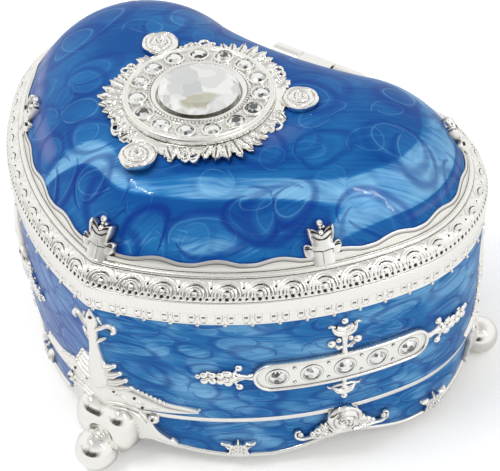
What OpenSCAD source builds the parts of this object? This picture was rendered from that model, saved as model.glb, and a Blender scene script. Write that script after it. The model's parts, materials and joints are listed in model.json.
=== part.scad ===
// Heart-shaped trinket box: a cast heart body on three ball feet and a domed
// lid on a rear hinge, both filled with translucent enamel and dressed with
// castings set with crystals. Millimetres, Z up, resting on z = 0.

/* [Heart outline] */
// Overall width across the two lobes
box_width = 106; // [96:1:116]
// Radius of each rear lobe
lobe_radius = 28.2; // [27:0.2:29.4]
// Radius of the two long side curves
side_radius = 73.6; // [71:0.4:77]
// Angle below the X axis at which a side curve meets its lobe
side_turn = 27.4; // [26:0.2:29]
// Rounding of the front point
tip_rounding = 4; // [2:0.5:6]
// Rounding of the rear cleft
cleft_rounding = 21.2; // [17:0.2:26]

/* [Body] */
// Height of the split between body and lid
split_z = 48.2; // [45:0.2:54]
// Height of the plain rim band below the split
band_height = 3; // [2:0.2:4]
// Height of the dentil strip below the band
dentil_height = 2.8; // [2:0.2:4]
// Inset of the dentil strip from the rim
dentil_inset = 0.6; // [0.3:0.1:1]
// Underside of the moulding that divides wall and apron
divider_z = 13.8; // [13:0.2:16]
// Height of the dividing moulding
divider_height = 1.6; // [1:0.2:2.4]
// Inset of the dividing moulding
divider_inset = 0.8; // [0.6:0.1:1.2]
// Inset of the enamelled wall
wall_inset = 0.5; // [0.3:0.1:0.6]
// Inset of the enamelled apron
apron_inset = 1.5; // [1.3:0.1:1.8]
// Lowest point of the scalloped apron edge
apron_low = 2.7; // [2:0.1:3.4]
// Height of the plain moulding along the apron edge
apron_edge = 1.1; // [0.8:0.1:1.6]
// Thickness of the enamel in its recess
enamel_depth = 0.8; // [0.6:0.1:1]
// Thickness of the cast wall behind the enamel
wall_thickness = 3.1; // [2.6:0.1:3.6]
// Underside of the floor
floor_z = 8; // [7.6:0.1:8.6]
// Thickness of the floor
floor_thickness = 2.5; // [2:0.1:3]
// Height of the lip that locates the lid
lip_height = 1.8; // [1.2:0.1:2.4]
// Thickness of that lip
lip_thickness = 1.5; // [1.2:0.1:1.6]

/* [Scalloped apron edge] */
// Rise of the arch under each rose
rose_arch_rise = 3.5; // [2.5:0.1:4]
// Half width of the arch under each rose
rose_arch_half = 15; // [12:0.5:18]
// Rise of the arch at each leg and at the cleft
leg_arch_rise = 2.4; // [1.5:0.1:3]
// Half width of the arch at each leg and at the cleft
leg_arch_half = 22; // [18:0.5:24]

/* [Lid] */
// Gap between body and lid
lid_gap = 0.25; // [0.2:0.05:0.4]
// Side clearance between the lip and the lid's recess
lip_clearance = 0.3; // [0.2:0.05:0.4]
// Width of the ovolo that carries the scale pattern
ovolo_width = 2.9; // [2.4:0.1:3.2]
// Height of that ovolo
ovolo_height = 3.3; // [2.8:0.1:3.8]
// Radius of the round step above the ovolo
step_radius = 0.55; // [0.4:0.05:0.6]
// Inset of the enamel's lower edge
dome_inset = 4.9; // [4.6:0.1:5.4]
// Height of the enamel's lower edge above the ovolo
dome_lift = 1.9; // [1.7:0.1:2.4]
// Rise of the enamelled dome
dome_rise = 13.4; // [11:0.2:15]
// Inset over which the dome rises
dome_run = 30; // [26:0.5:34]
// Fullness of the dome, higher is squarer
dome_power = 3.7; // [3:0.1:4]
// How fast the cleft softens up the dome
cleft_soften = 7; // [4:0.5:9]
// How fast the front ridge softens up the dome
ridge_soften = 0.5; // [0.3:0.1:0.8]
// Thickness of the lid casting and its enamel together
lid_thickness = 2.2; // [2:0.1:2.4]
// Thickness of the velvet lining in the lid
lid_lining = 0.8; // [0.6:0.1:1]

/* [Hinge] */
// Outer radius of the hinge knuckles
knuckle_radius = 2.2; // [2:0.1:2.4]
// Radius of the hinge pin
pin_radius = 1; // [0.8:0.05:1.1]
// Running clearance of the pin in the lid's knuckle
pin_clearance = 0.05; // [0.03:0.01:0.08]
// Length of the whole barrel
barrel_length = 22; // [20:1:24]
// Length of the lid's middle knuckle
lid_knuckle = 7.8; // [7:0.2:9]
// Gap between neighbouring knuckles
knuckle_gap = 0.3; // [0.2:0.05:0.4]
// Distance of the hinge axis behind the lobes
hinge_offset = 0.3; // [0.2:0.1:0.6]
// Length of the toe that stops the open lid
toe_length = 3.2; // [3:0.1:3.4]
// How far the lid opens, in degrees
lid_opening = 100; // [95:1:104]

/* [Legs] */
// Radius of a ball foot
ball_radius = 4.15; // [3.8:0.05:4.4]
// Radius of the small flat under each ball
foot_flat = 1.3; // [1:0.1:1.6]
// How far each ball stands out from the rim line
ball_out = 3.3; // [3:0.1:3.6]
// Radius of the two swellings of the knee
knee_radius = 4.3; // [4:0.1:4.6]
// Half the distance between the two swellings
knee_spread = 2.7; // [2.4:0.1:3]
// Height of the knee
knee_z = 9.6; // [9.2:0.1:10]
// Thickness of the leg's flat upper casting
leg_relief = 1.1; // [0.8:0.1:1.4]
// Direction of the rear legs from their lobe centre, in degrees
rear_leg_turn = 33.5; // [30:0.5:38]
// Width of the tongue under the floor
tongue_width = 7; // [6:0.2:8]
// Length of the tongue from the rim line
tongue_length = 13.5; // [13:0.5:15]
// Thickness of the tongue
tongue_thickness = 1.7; // [1.4:0.1:1.8]
// Clearance of the tongue in its notch
tongue_clearance = 0.1; // [0.05:0.05:0.2]
// Radius of a leg screw
screw_radius = 1.2; // [1:0.05:1.3]
// Radius of the screw head
screw_head = 2.2; // [2:0.1:2.4]

/* [Side plaques] */
// Angle of each plaque's centre round the side curve
plaque_turn = 39.4; // [38:0.2:41]
// Half length of the round-ended plaque
plaque_half = 17.8; // [17:0.2:18.6]
// Half height of the plaque
plaque_high = 3.7; // [3.4:0.1:4]
// Height of the plaque's centre
plaque_z = 27.9; // [26:0.2:30]
// Thickness of the plaque
plaque_relief = 1.2; // [1:0.1:1.5]
// Width of its raised border
plaque_border = 0.7; // [0.5:0.1:0.9]
// Depth of the field inside the border
plaque_field = 0.35; // [0.2:0.05:0.5]
// Distance between neighbouring stones
stone_pitch = 6.6; // [6.2:0.1:7]
// Radius of the small stones
stone_radius = 1.6; // [1.5:0.05:1.7]
// Clearance round every stone in its seat
stone_clearance = 0.05; // [0.03:0.01:0.1]

/* [Apron ornaments] */
// Radius of the apron rose
rose_radius = 3.5; // [3.2:0.1:3.8]
// Height of the rose's centre
rose_z = 12.3; // [11.8:0.1:12.8]
// Thickness of the rose
rose_relief = 2.4; // [2:0.1:2.8]
// Thickness of the leaves and of the small crowns
leaf_relief = 1; // [0.8:0.1:1.2]
// Angle of each apron crown from its rose
crown_turn = 16.8; // [16:0.2:18]
// Height of the apron crowns
apron_crown_z = 6.9; // [6.6:0.1:7.2]

/* [Lid crowns] */
// Half width of a crown's foot
crown_half = 3.3; // [3:0.1:3.6]
// Height of a crown up the slope of the dome
crown_height = 7.4; // [7:0.1:8]
// Thickness of a crown
crown_relief = 1.3; // [1:0.1:1.5]
// Lean of a crown from the vertical, in degrees
crown_lean = 29; // [26:0.5:32]
// Direction of the rear crowns from their lobe centre, in degrees
rear_crown_turn = 46; // [42:1:50]

/* [Medallion] */
// Distance of the medallion in front of the lobe centres
medallion_y = 13; // [12:0.2:14]
// Radius of the raised ring plate
ring_radius = 14.6; // [14.2:0.1:15]
// Thickness of the ring plate
ring_thickness = 1.4; // [1.2:0.1:1.6]
// Radius of the centre crystal
crystal_radius = 7.9; // [7.6:0.1:8.1]
// Height of the crystal above its seat
crystal_height = 2.6; // [2.2:0.1:3]
// Depth of the crystal's seat in the ring plate
crystal_seat = 0.7; // [0.5:0.1:0.9]
// Radius of the circle of small stones
stone_circle = 11.9; // [11.7:0.1:12.1]
// Number of small stones round the crystal
stone_count = 15; // [12:1:16]
// Thickness of the wreath's base plate
wreath_thickness = 0.8; // [0.6:0.1:1]
// Radius of the circle of roses and leaves
wreath_circle = 17.8; // [17.2:0.1:18.4]
// Radius of the wreath's roses
wreath_rose = 3.5; // [3.2:0.1:3.8]
// Height of the wreath's roses
wreath_rose_height = 1.7; // [1.4:0.1:2]
// Radius of the wreath's posts
post_radius = 1; // [0.9:0.05:1.1]
// Radius of the circle of posts
post_circle = 8; // [7:0.5:9]
// Radius of the push nuts on the posts
nut_radius = 2.3; // [2.1:0.1:2.5]

/* [Lining] */
// Thickness of the wall lining
lining_thickness = 1; // [0.8:0.1:1.2]
// Thickness of the floor pad
pad_thickness = 2; // [1.6:0.1:2.6]
// Bare metal left above the wall lining
lining_reveal = 0.6; // [0.4:0.1:1]

/* [Hidden] */

$fn = 48;
tip_steps = 2;
side_steps = 11;
lobe_steps = 16;
cleft_steps = 4;
dome_steps = 8;
ovolo_steps = 4;

silver = [0.88, 0.88, 0.86];
bright_silver = [0.94, 0.94, 0.93];
steel = [0.62, 0.63, 0.65];
enamel_blue = [0.07, 0.24, 0.62];
velvet_blue = [0.05, 0.09, 0.3];
crystal_clear = [0.86, 0.9, 0.93];

// Reach of any cut beyond the surface it passes through
past = 1;

// ---- places worked out from the sizes above ----

lobe_x = box_width / 2 - lobe_radius;
side_c = [lobe_x - (side_radius - lobe_radius) * cos(side_turn),
    (side_radius - lobe_radius) * sin(side_turn)];
tip_c = side_c[1] - sqrt(pow(side_radius - tip_rounding, 2) - pow(side_c[0], 2));
tip_y = tip_c - tip_rounding;
cleft_y = sqrt(pow(lobe_radius + cleft_rounding, 2) - pow(lobe_x, 2)) - cleft_rounding;
hinge_y = lobe_radius + hinge_offset;
front_y = tip_y - ball_out - ball_radius;
rear_y = hinge_y + toe_length;
centre_y = -(front_y + rear_y) / 2;

band_z = split_z - lid_gap / 2 - band_height;
dentil_z = band_z - dentil_height;
body_top = split_z - lid_gap / 2;
wall_z = divider_z + divider_height;
wall_back = wall_inset + enamel_depth;
apron_back = apron_inset + enamel_depth;
inner_inset = wall_back + wall_thickness;
skirt_inset = apron_back + 1.5;
floor_top = floor_z + floor_thickness;
lip_top = body_top + lip_height;
lip_inset = inner_inset - lip_thickness;

lid_z = split_z + lid_gap / 2;
recess_z = lip_top + lid_gap;
ovolo_z = lid_z + ovolo_height;
dome_z0 = ovolo_z + dome_lift;
// The dome's levels stop just short of the lobes' centres
dome_reach = lobe_radius - dome_inset - 2.2;
enamel_in = 0.5;
enamel_down = 0.4;
lid_in = lid_thickness;
lid_down = lid_thickness - 0.4;
plateau_z = dome_height(dome_inset + dome_reach);

knuckle_edge = lid_knuckle / 2 + knuckle_gap;
tongue_z = floor_z - tongue_thickness;
ball_z = sqrt(pow(ball_radius, 2) - pow(foot_flat, 2));
screw_in = tongue_length - tongue_width / 2;
screw_depth = floor_thickness - 0.6;
screw_head_high = 1.2;
wreath_z = plateau_z;
ring_z = wreath_z + wreath_thickness;
ring_top = ring_z + ring_thickness;
nut_recess = 1;

// ---- the heart ----

function tip_round(inset) = tip_rounding + ridge_soften * max(inset - dome_inset, 0);
function cleft_round(inset) =
    cleft_rounding + inset + cleft_soften * max(inset - dome_inset, 0);
function arc(c, r, a0, a1, n) =
    [for (i = [0:n]) let (a = a0 + (a1 - a0) * i / n) [c[0] + r * cos(a), c[1] + r * sin(a)]];
function rest(points) = [for (i = [1:len(points) - 1]) points[i]];

// Right half of the outline at an inset, from the front point to the cleft
function half_heart(inset) =
    let (rl = lobe_radius - inset, rs = side_radius - inset,
        rt = tip_round(inset), rc = cleft_round(inset),
        tip = [0, side_c[1] - sqrt(pow(rs - rt, 2) - pow(side_c[0], 2))],
        cleft = [0, sqrt(pow(rl + rc, 2) - pow(lobe_x, 2))],
        a_tip = atan2(tip[1] - side_c[1], tip[0] - side_c[0]),
        a_cleft = atan2(cleft[1], -lobe_x))
    concat(arc(tip, rt, -90, a_tip, tip_steps),
        rest(arc(side_c, rs, a_tip, -side_turn, side_steps)),
        rest(arc([lobe_x, 0], rl, -side_turn, a_cleft, lobe_steps)),
        rest(arc(cleft, rc, a_cleft - 180, -90, cleft_steps)));

function heart(inset) =
    let (h = half_heart(inset), n = len(h))
    concat(h, [for (i = [n - 2:-1:1]) [-h[i][0], h[i][1]]]);

// Height of the enamelled dome at an inset
function dome_height(inset) =
    dome_z0 + dome_rise * (1 - pow(1 - (inset - dome_inset) / dome_run, dome_power));

// A straight heart-shaped block between two heights
module block(inset, z0, z1) {
    translate([0, 0, z0]) linear_extrude(z1 - z0) polygon(heart(inset));
}

// A closed skin through heart outlines, one for each [inset, z]. Each facet's diagonal runs
// up from the lower outline, so that two skins with an outline pair in common meet there.
module skin(levels) {
    rings = [for (l = levels) [for (p = heart(l[0])) [p[0], p[1], l[1]]]];
    n = len(rings[0]);
    m = len(rings);
    polyhedron(
        points = [for (r = rings) for (p = r) p],
        faces = concat(
            [[for (i = [0:n - 1]) i]],
            [for (k = [0:m - 2]) for (i = [0:n - 1])
                let (a = k * n + i, b = a + n, d = k * n + (i + 1) % n, c = d + n)
                levels[k][1] <= levels[k + 1][1] ? [a, b, c] : [a, b, d]],
            [for (k = [0:m - 2]) for (i = [0:n - 1])
                let (a = k * n + i, b = a + n, d = k * n + (i + 1) % n, c = d + n)
                levels[k][1] <= levels[k + 1][1] ? [a, c, d] : [b, c, d]],
            [[for (i = [n - 1:-1:0]) (m - 1) * n + i]]));
}

// ---- places on the outline: +X points outwards, Y runs along the wall ----

module at_tip() {
    translate([0, tip_y, 0]) rotate([0, 0, -90]) children();
}
module at_side(turn) {
    translate([side_c[0], side_c[1], 0]) rotate([0, 0, -turn])
        translate([side_radius, 0, 0]) children();
}
module at_lobe(turn) {
    translate([lobe_x, 0, 0]) rotate([0, 0, turn]) translate([lobe_radius, 0, 0]) children();
}
module at_cleft() {
    translate([0, cleft_y, 0]) rotate([0, 0, 90]) children();
}
module left() {
    mirror([1, 0, 0]) children();
}
// The part's own frame, with its origin under the middle of its bounding box
module place() {
    translate([0, centre_y, 0]) children();
}

// A flat outline in Y and Z, carried outwards along X
module outwards(from, to) {
    translate([from, 0, 0]) rotate([90, 0, 90]) linear_extrude(to - from) children();
}

// The outside of the body, which every applied casting seats on
module body_mass() {
    block(apron_inset, 0, divider_z);
    block(divider_inset, divider_z, wall_z);
    block(wall_inset, wall_z, dentil_z);
    block(dentil_inset, dentil_z, band_z);
}

// Reach of an outline's extrusion inside and outside the rim line
reach_in = 14;
reach_out = 5;

// ---- body ----

// One arch of the scalloped apron edge, as a flat outline
module arch(half, rise, lift) {
    steps = 8;
    polygon(concat([[half, -past], [-half, -past]],
        [for (i = [-steps:steps])
            [half * i / steps, apron_low + lift + rise * (1 + cos(180 * i / steps)) / 2]]));
}

module arches(lift) {
    module cut(half, rise) {
        outwards(-skirt_inset - 2 * past, reach_out) arch(half, rise, lift);
    }
    module wide_cut() {
        outwards(-reach_in, reach_out) arch(leg_arch_half, leg_arch_rise, lift);
    }
    at_side(plaque_turn) cut(rose_arch_half, rose_arch_rise);
    left() at_side(plaque_turn) cut(rose_arch_half, rose_arch_rise);
    at_tip() wide_cut();
    at_cleft() wide_cut();
    at_lobe(rear_leg_turn) wide_cut();
    left() at_lobe(rear_leg_turn) wide_cut();
}

module leg_notch() {
    w = tongue_width + 2 * tongue_clearance;
    translate([-tongue_length - tongue_clearance, -w / 2, -past])
        cube([tongue_length + reach_out, w, floor_z + past]);
}

module at_legs() {
    at_tip() children();
    at_lobe(rear_leg_turn) children();
    left() at_lobe(rear_leg_turn) children();
}

module screw_hole(r, z0, z1) {
    translate([-screw_in, 0, z0]) cylinder(r = r, h = z1 - z0);
}

module barrel(r, x0, x1) {
    translate([x0, hinge_y, split_z]) rotate([0, 90, 0]) cylinder(r = r, h = x1 - x0);
}

// The hinge's lugs start inside the wall at the cleft, and the lid's starts clear of the lip
lug_root_y = cleft_y - lip_inset;
lid_lug_root_y = cleft_y - lip_inset / 2 + lip_clearance;
module body_knuckle() {
    barrel(knuckle_radius, knuckle_edge, barrel_length / 2);
    translate([knuckle_edge, lug_root_y, band_z - 0.6])
        cube([barrel_length / 2 - knuckle_edge, hinge_y - lug_root_y, body_top - band_z + 0.6]);
}

// The stop that the lid's toe meets a little past its full opening
stop_back = knuckle_radius * sin(lid_opening) - toe_length * cos(lid_opening) + 0.15;
module lid_stop() {
    w = lid_knuckle - 2 * knuckle_gap;
    translate([-w / 2, lug_root_y, band_z - dentil_height])
        cube([w, hinge_y - stop_back - lug_root_y, dentil_height + 0.4]);
}

module body_shell() {
    color(silver) place() difference() {
        union() {
            difference() {
                union() {
                    block(apron_back, apron_low, divider_z);
                    intersection() {
                        block(apron_inset, apron_low, divider_z);
                        union() {
                            block(0, apron_low, apron_low + apron_edge);
                            arches(apron_edge);
                        }
                    }
                }
                arches(0);
            }
            block(divider_inset, divider_z, wall_z);
            block(wall_back, wall_z, dentil_z);
            block(dentil_inset, dentil_z, band_z);
            block(0, band_z, body_top);
            block(lip_inset, body_top, lip_top);
            body_knuckle();
            left() body_knuckle();
            lid_stop();
        }
        block(inner_inset, floor_top, lip_top + past);
        block(skirt_inset, -past, floor_z);
        at_legs() leg_notch();
        at_legs() screw_hole(screw_radius, floor_z - past, floor_z + screw_depth);
        barrel(pin_radius, -barrel_length, barrel_length);
    }
}

module wall_enamel() {
    color(enamel_blue) place() difference() {
        block(wall_inset, wall_z, dentil_z);
        block(wall_back, wall_z - past, dentil_z + past);
    }
}

module apron_enamel() {
    color(enamel_blue) place() difference() {
        block(apron_inset, apron_low + apron_edge, divider_z);
        block(apron_back, 0, divider_z + past);
        arches(apron_edge);
        at_legs() leg_notch();
    }
}

module wall_lining() {
    color(velvet_blue) place() difference() {
        block(inner_inset, floor_top, body_top - lining_reveal);
        block(inner_inset + lining_thickness, floor_top - past, body_top + past);
    }
}

module floor_pad() {
    color(velvet_blue) place()
        block(inner_inset + lining_thickness, floor_top, floor_top + pad_thickness);
}

module hinge_pin() {
    color(steel) place() barrel(pin_radius, -barrel_length / 2, barrel_length / 2);
}

// ---- legs ----

// Outline of the leg's flat casting: a tapering spine between two leafy wings
module leg_outline() {
    side = [[0, 42], [0.6, 40.9], [1.3, 40.2], [1.3, 38.4], [0.9, 36.8], [0.9, 32], [1.3, 27.6],
        [3.2, 26.4], [2.9, 25.2], [4.5, 24.7], [4.1, 23.4], [5.4, 22.6], [5.2, 21.4],
        [12, 18.9], [16, 17.7], [19.2, 17.4], [18.6, 16.2], [12, 15.4], [10.4, 11.4],
        [8, 10.6], [6, 7.5], [0, 6.5]];
    polygon(concat(side, [for (i = [len(side) - 1:-1:1]) [-side[i][0], side[i][1]]]));
    for (s = [-1, 1]) {
        translate([s * 2.9, 36.2]) circle(0.9);
        translate([s * 1.6, 35.3]) circle(1.1);
        translate([s * 1.6, 32.6]) circle(0.9);
        translate([s * 10.2, 12.2]) circle(1.3);
    }
}

module leg_spot(i) {
    if (i == 0) at_tip() children();
    if (i == 1) at_lobe(rear_leg_turn) children();
    if (i == 2) left() at_lobe(rear_leg_turn) children();
}

// The knee's two swellings, one for each wing, over the ball foot
module knee_and_ball() {
    for (s = [-1, 1]) {
        translate([0.4, s * knee_spread, knee_z]) sphere(knee_radius);
        translate([-0.3, s * (knee_spread - 0.3), knee_z + 3.2]) sphere(knee_radius - 0.8);
    }
    translate([ball_out, 0, ball_z]) sphere(ball_radius);
}

module tongue() {
    difference() {
        translate([-tongue_length, -tongue_width / 2, tongue_z])
            cube([tongue_length, tongue_width, tongue_thickness]);
        screw_hole(screw_radius + 0.15, tongue_z - past, floor_z + past);
    }
}

module leg(i) {
    color(bright_silver) place() {
        difference() {
            union() {
                intersection() {
                    leg_spot(i) outwards(-reach_in, reach_out) leg_outline();
                    block(wall_inset - leg_relief, 0, band_z);
                }
                leg_spot(i) knee_and_ball();
            }
            body_mass();
            translate([0, 0, -ball_radius])
                cube([2 * box_width, 2 * box_width, 2 * ball_radius], center = true);
        }
        leg_spot(i) tongue();
    }
}

module leg_front() {
    leg(0);
}
module leg_right() {
    leg(1);
}
module leg_left() {
    leg(2);
}

module leg_screws() {
    color(steel) place() at_legs() {
        screw_hole(screw_radius, tongue_z, floor_z + screw_depth - 0.2);
        difference() {
            screw_hole(screw_head, tongue_z - screw_head_high, tongue_z);
            translate([-screw_in - screw_head, -0.35, tongue_z - screw_head_high - past])
                cube([2 * screw_head, 0.7, past + 0.5]);
        }
    }
}

// ---- side plaques ----

module capsule(half_length, half_height) {
    straight = half_length - half_height;
    square([2 * straight, 2 * half_height], center = true);
    for (s = [-1, 1]) translate([s * straight, 0]) circle(half_height);
}

// The finial at each end of a plaque: neck, two curls, berry knobs and a bead
module finial() {
    translate([-0.5, -0.8]) square([9, 1.6]);
    for (s = [-1, 1]) {
        translate([1.3, s * 1.5]) circle(1);
        translate([1.9, s * 2.7]) circle(0.85);
    }
    translate([4.2, 0]) circle(1.7);
    translate([6.6, 0]) circle(1.45);
    translate([8.6, 0]) circle(0.75);
}

// The fleur above and below a plaque: stem, cup, side knobs and a bead
module fleur(length) {
    translate([-0.7, -0.5]) square([1.4, length]);
    for (s = [-1, 1]) {
        translate([s * 1.4, length * 0.3]) circle(0.8);
        translate([s * 2.7, length * 0.34]) circle(0.95);
        translate([s * 1.1, length * 0.62]) circle(1.1);
    }
    translate([0, length * 0.66]) circle(1.2);
    translate([0, length]) circle(0.75);
}

module plaque_outline() {
    capsule(plaque_half, plaque_high);
    for (s = [0, 1]) mirror([s, 0]) translate([plaque_half, 0]) finial();
    translate([0, plaque_high]) fleur(8.2);
    mirror([0, 1]) translate([0, plaque_high]) fleur(5.6);
}

module stone_spots() {
    for (i = [-2:2]) {
        turn = plaque_turn - i * stone_pitch / side_radius * 180 / PI;
        translate([side_c[0], side_c[1], plaque_z]) rotate([0, 0, -turn]) rotate([0, 90, 0])
            translate([0, 0, side_radius - wall_inset]) children();
    }
}

stone_sunk = plaque_relief - plaque_field - 0.15;
module plaque() {
    difference() {
        intersection() {
            at_side(plaque_turn) outwards(-reach_in, reach_out)
                translate([0, plaque_z]) plaque_outline();
            block(wall_inset - plaque_relief, 0, band_z);
        }
        body_mass();
        difference() {
            at_side(plaque_turn) outwards(-reach_in, reach_out) translate([0, plaque_z])
                capsule(plaque_half - plaque_border, plaque_high - plaque_border);
            block(wall_inset - plaque_relief + plaque_field, 0, body_top);
        }
        stone_spots() translate([0, 0, 0.15])
            cylinder(r = stone_radius + stone_clearance, h = reach_out);
    }
}

// A round brilliant: pointed pavilion, girdle, crown and table, seat down
module stone(r, height) {
    rotate_extrude() polygon([[0, 0], [r * 0.5, 0], [r, height * 0.55], [r, height * 0.65],
        [r * 0.62, height], [0, height]]);
}

module plaque_stones() {
    stone_spots() translate([0, 0, 0.15]) stone(stone_radius, 1.5);
}

module plaque_right() {
    color(silver) place() plaque();
}
module plaque_left() {
    color(silver) place() left() plaque();
}
module plaque_crystals_right() {
    color(crystal_clear) place() plaque_stones();
}
module plaque_crystals_left() {
    color(crystal_clear) place() left() plaque_stones();
}

// ---- apron ornaments ----

module rose_leaves() {
    for (s = [-1, 1]) {
        translate([s * 4.6, rose_z - 3.9]) circle(1.6);
        translate([s * 6.6, rose_z - 4]) circle(1.1);
        translate([s * 8.2, rose_z - 3.9]) circle(0.9);
        translate([s * 9.2, rose_z - 3]) circle(0.9);
    }
    translate([-8.2, rose_z - 4.6]) square([16.4, 1.3]);
}

module apron_rose() {
    difference() {
        union() {
            intersection() {
                at_side(plaque_turn) outwards(-reach_in, reach_out) rose_leaves();
                block(divider_inset - leaf_relief, 0, band_z);
            }
            at_side(plaque_turn) translate([0, 0, rose_z]) rotate([0, 90, 0]) for (i = [0:2])
                translate([0, 0, -reach_in / 2]) cylinder(r = rose_radius * (1 - 0.27 * i),
                    h = reach_in / 2 - wall_inset + rose_relief * (0.55 + 0.225 * i));
        }
        body_mass();
    }
}

module apron_rose_right() {
    color(bright_silver) place() apron_rose();
}
module apron_rose_left() {
    color(bright_silver) place() left() apron_rose();
}

// A small pointed crown with a foot, standing on the apron edge
module small_crown() {
    polygon([[-2, -1.7], [2, -1.7], [2.1, -0.6], [3.3, 1.5], [1.5, 0.6], [0, 2.1],
        [-1.5, 0.6], [-3.3, 1.5], [-2.1, -0.6]]);
}

module apron_crown_spots() {
    for (s = [-1, 1]) at_side(plaque_turn + s * crown_turn) children();
    at_lobe(90) children();
}

module apron_crowns() {
    color(bright_silver) place() for (m = [0, 1]) mirror([m, 0, 0]) difference() {
        intersection() {
            apron_crown_spots() outwards(-reach_in / 2, reach_out)
                translate([0, apron_crown_z]) small_crown();
            block(apron_inset - leaf_relief, 0, divider_z);
        }
        body_mass();
    }
}

// ---- lid ----

function shares(n, power) = [for (i = [0:n]) pow(i / n, power)];

// The outside of the lid from its underside to the top of the round step
function rim_levels() =
    let (a0 = 15, a1 = 75)
    concat([for (i = [0:ovolo_steps]) let (a = a0 + (a1 - a0) * i / ovolo_steps)
            [ovolo_width * (cos(a0) - cos(a)) / (cos(a0) - cos(a1)),
                lid_z + ovolo_height * (sin(a) - sin(a0)) / (sin(a1) - sin(a0))]],
        [for (a = [150, 90, 30]) [ovolo_width + step_radius * (1 - cos(180 - a)),
            ovolo_z + step_radius * (0.6 + sin(a))]],
        [[ovolo_width + 2.1 * step_radius, ovolo_z + 0.7 * step_radius]]);

function dome_levels() = [for (t = shares(dome_steps, 1.35))
    let (d = dome_inset + dome_reach * t) [d, dome_height(d)]];
function under_enamel() = [for (l = dome_levels()) [l[0] + enamel_in, l[1] - enamel_down]];
// The lid's ceiling: the dome moved in and down by the casting's thickness
function ceiling(extra) =
    let (d0 = dome_inset, reach = dome_reach - lid_in - extra + 0.6)
    [for (t = shares(dome_steps - 1, 1.35)) let (d = d0 + reach * t)
        [d + lid_in + extra, dome_height(d) - lid_down - extra]];
function reversed(list) = [for (i = [len(list) - 1:-1:0]) list[i]];

module lid_shell() {
    color(silver) place() difference() {
        union() {
            skin(concat(reversed(ceiling(0)),
                [[inner_inset + 1.2, recess_z], [lip_inset - lip_clearance, recess_z],
                    [lip_inset - lip_clearance, lid_z]],
                rim_levels(), [dome_levels()[0]], under_enamel()));
            barrel(knuckle_radius, -lid_knuckle / 2, lid_knuckle / 2);
            translate([-lid_knuckle / 2, lid_lug_root_y, lid_z])
                cube([lid_knuckle, hinge_y - lid_lug_root_y, knuckle_radius]);
            translate([-lid_knuckle / 2 + knuckle_gap, hinge_y, split_z - knuckle_radius])
                cube([lid_knuckle - 2 * knuckle_gap, toe_length, knuckle_radius - 0.7]);
        }
        barrel(pin_radius + pin_clearance, -lid_knuckle, lid_knuckle);
        at_posts() post_bores();
    }
}

module lid_enamel() {
    color(enamel_blue) place() difference() {
        skin(concat(reversed(under_enamel()), dome_levels()));
        at_posts() translate([0, 0, split_z]) cylinder(r = post_radius + 0.1, h = split_z);
    }
}

module lid_lining_velvet() {
    color(velvet_blue) place()
        skin(concat(reversed(ceiling(lid_lining)), ceiling(0)));
}

// The solid outside of the closed lid, which the crowns seat on
module lid_mass() {
    skin(concat(rim_levels(), dome_levels()));
}

// A lid crown: a stepped foot, a pointed cup between two horns, and a ball
module crown_outline() {
    h = crown_height;
    side = [[0, 0], [1, 0], [1, 0.18 * h], [0.55, 0.24 * h], [0.55, 0.34 * h], [0.4, 0.44 * h],
        [0.85, 0.72 * h], [0.4, 0.64 * h], [0.12, 0.84 * h], [0, 0.84 * h]];
    polygon(concat([for (p = side) [crown_half * p[0], p[1]]],
        [for (p = reversed(side)) [-crown_half * p[0], p[1]]]));
    translate([0, 0.9 * h]) circle(0.8);
}

crown_foot = ovolo_width + 1.2;
module crown_spots() {
    at_tip() children();
    for (m = [0, 1]) mirror([m, 0, 0]) {
        at_side(plaque_turn + 2) children();
        at_lobe(rear_crown_turn) children();
    }
}

module lid_crowns() {
    color(bright_silver) place() difference() {
        crown_spots() translate([-crown_foot, 0, ovolo_z + 0.4]) rotate([0, -crown_lean, 0])
            outwards(-1, crown_relief - 0.2) crown_outline();
        lid_mass();
    }
}

// ---- medallion ----

module at_medallion(z) {
    translate([0, -medallion_y, z]) children();
}
module at_posts() {
    at_medallion(0) for (i = [0:2]) rotate([0, 0, 30 + 120 * i])
        translate([post_circle, 0, 0]) children();
}

// Ceiling of the lid over the medallion, where the push nuts sit
nut_top = plateau_z - lid_down + nut_recess;
module post_bores() {
    translate([0, 0, split_z]) cylinder(r = post_radius + 0.1, h = split_z);
    translate([0, 0, nut_top - 2 * nut_recess]) cylinder(r = nut_radius + 0.2, h = 2 * nut_recess);
}

module medallion_wreath() {
    color(bright_silver) place() {
        at_medallion(wreath_z) difference() {
            union() {
                cylinder(r = ring_radius + 0.6, h = wreath_thickness);
                for (i = [0:2]) rotate([0, 0, 30 + 120 * i]) {
                    translate([wreath_circle, 0, 0]) {
                        cylinder(r = wreath_rose, h = wreath_rose_height);
                        cylinder(r = wreath_rose * 0.5, h = wreath_rose_height + 0.5);
                    }
                    rotate([0, 0, 60]) linear_extrude(wreath_thickness) leaf_cluster();
                }
            }
            translate([0, 0, wreath_thickness]) cylinder(r = ring_radius, h = wreath_rose_height);
        }
        at_posts() translate([0, 0, nut_top - 0.9])
            cylinder(r = post_radius, h = wreath_z - nut_top + 1);
    }
}

// Three pointed leaves with a curl on each side
module leaf_cluster() {
    c = wreath_circle;
    polygon([[c - 4, -6.5], [c - 2, -5.2], [c - 0.4, -5.8], [c - 0.2, -3.2], [c + 1.6, -3.4],
        [c + 1, -1.3], [c + 2.6, 0], [c + 1, 1.3], [c + 1.6, 3.4], [c - 0.2, 3.2],
        [c - 0.4, 5.8], [c - 2, 5.2], [c - 4, 6.5]]);
}

module medallion_nuts() {
    color(steel) place() at_posts() difference() {
        translate([0, 0, nut_top - 0.6]) cylinder(r = nut_radius, h = 0.6);
        translate([0, 0, nut_top - past]) cylinder(r = post_radius, h = 2 * past);
    }
}

module at_ring_stones() {
    at_medallion(0) for (i = [0:stone_count - 1]) rotate([0, 0, 360 * (i + 0.25) / stone_count])
        translate([stone_circle, 0, 0]) children();
}

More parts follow.
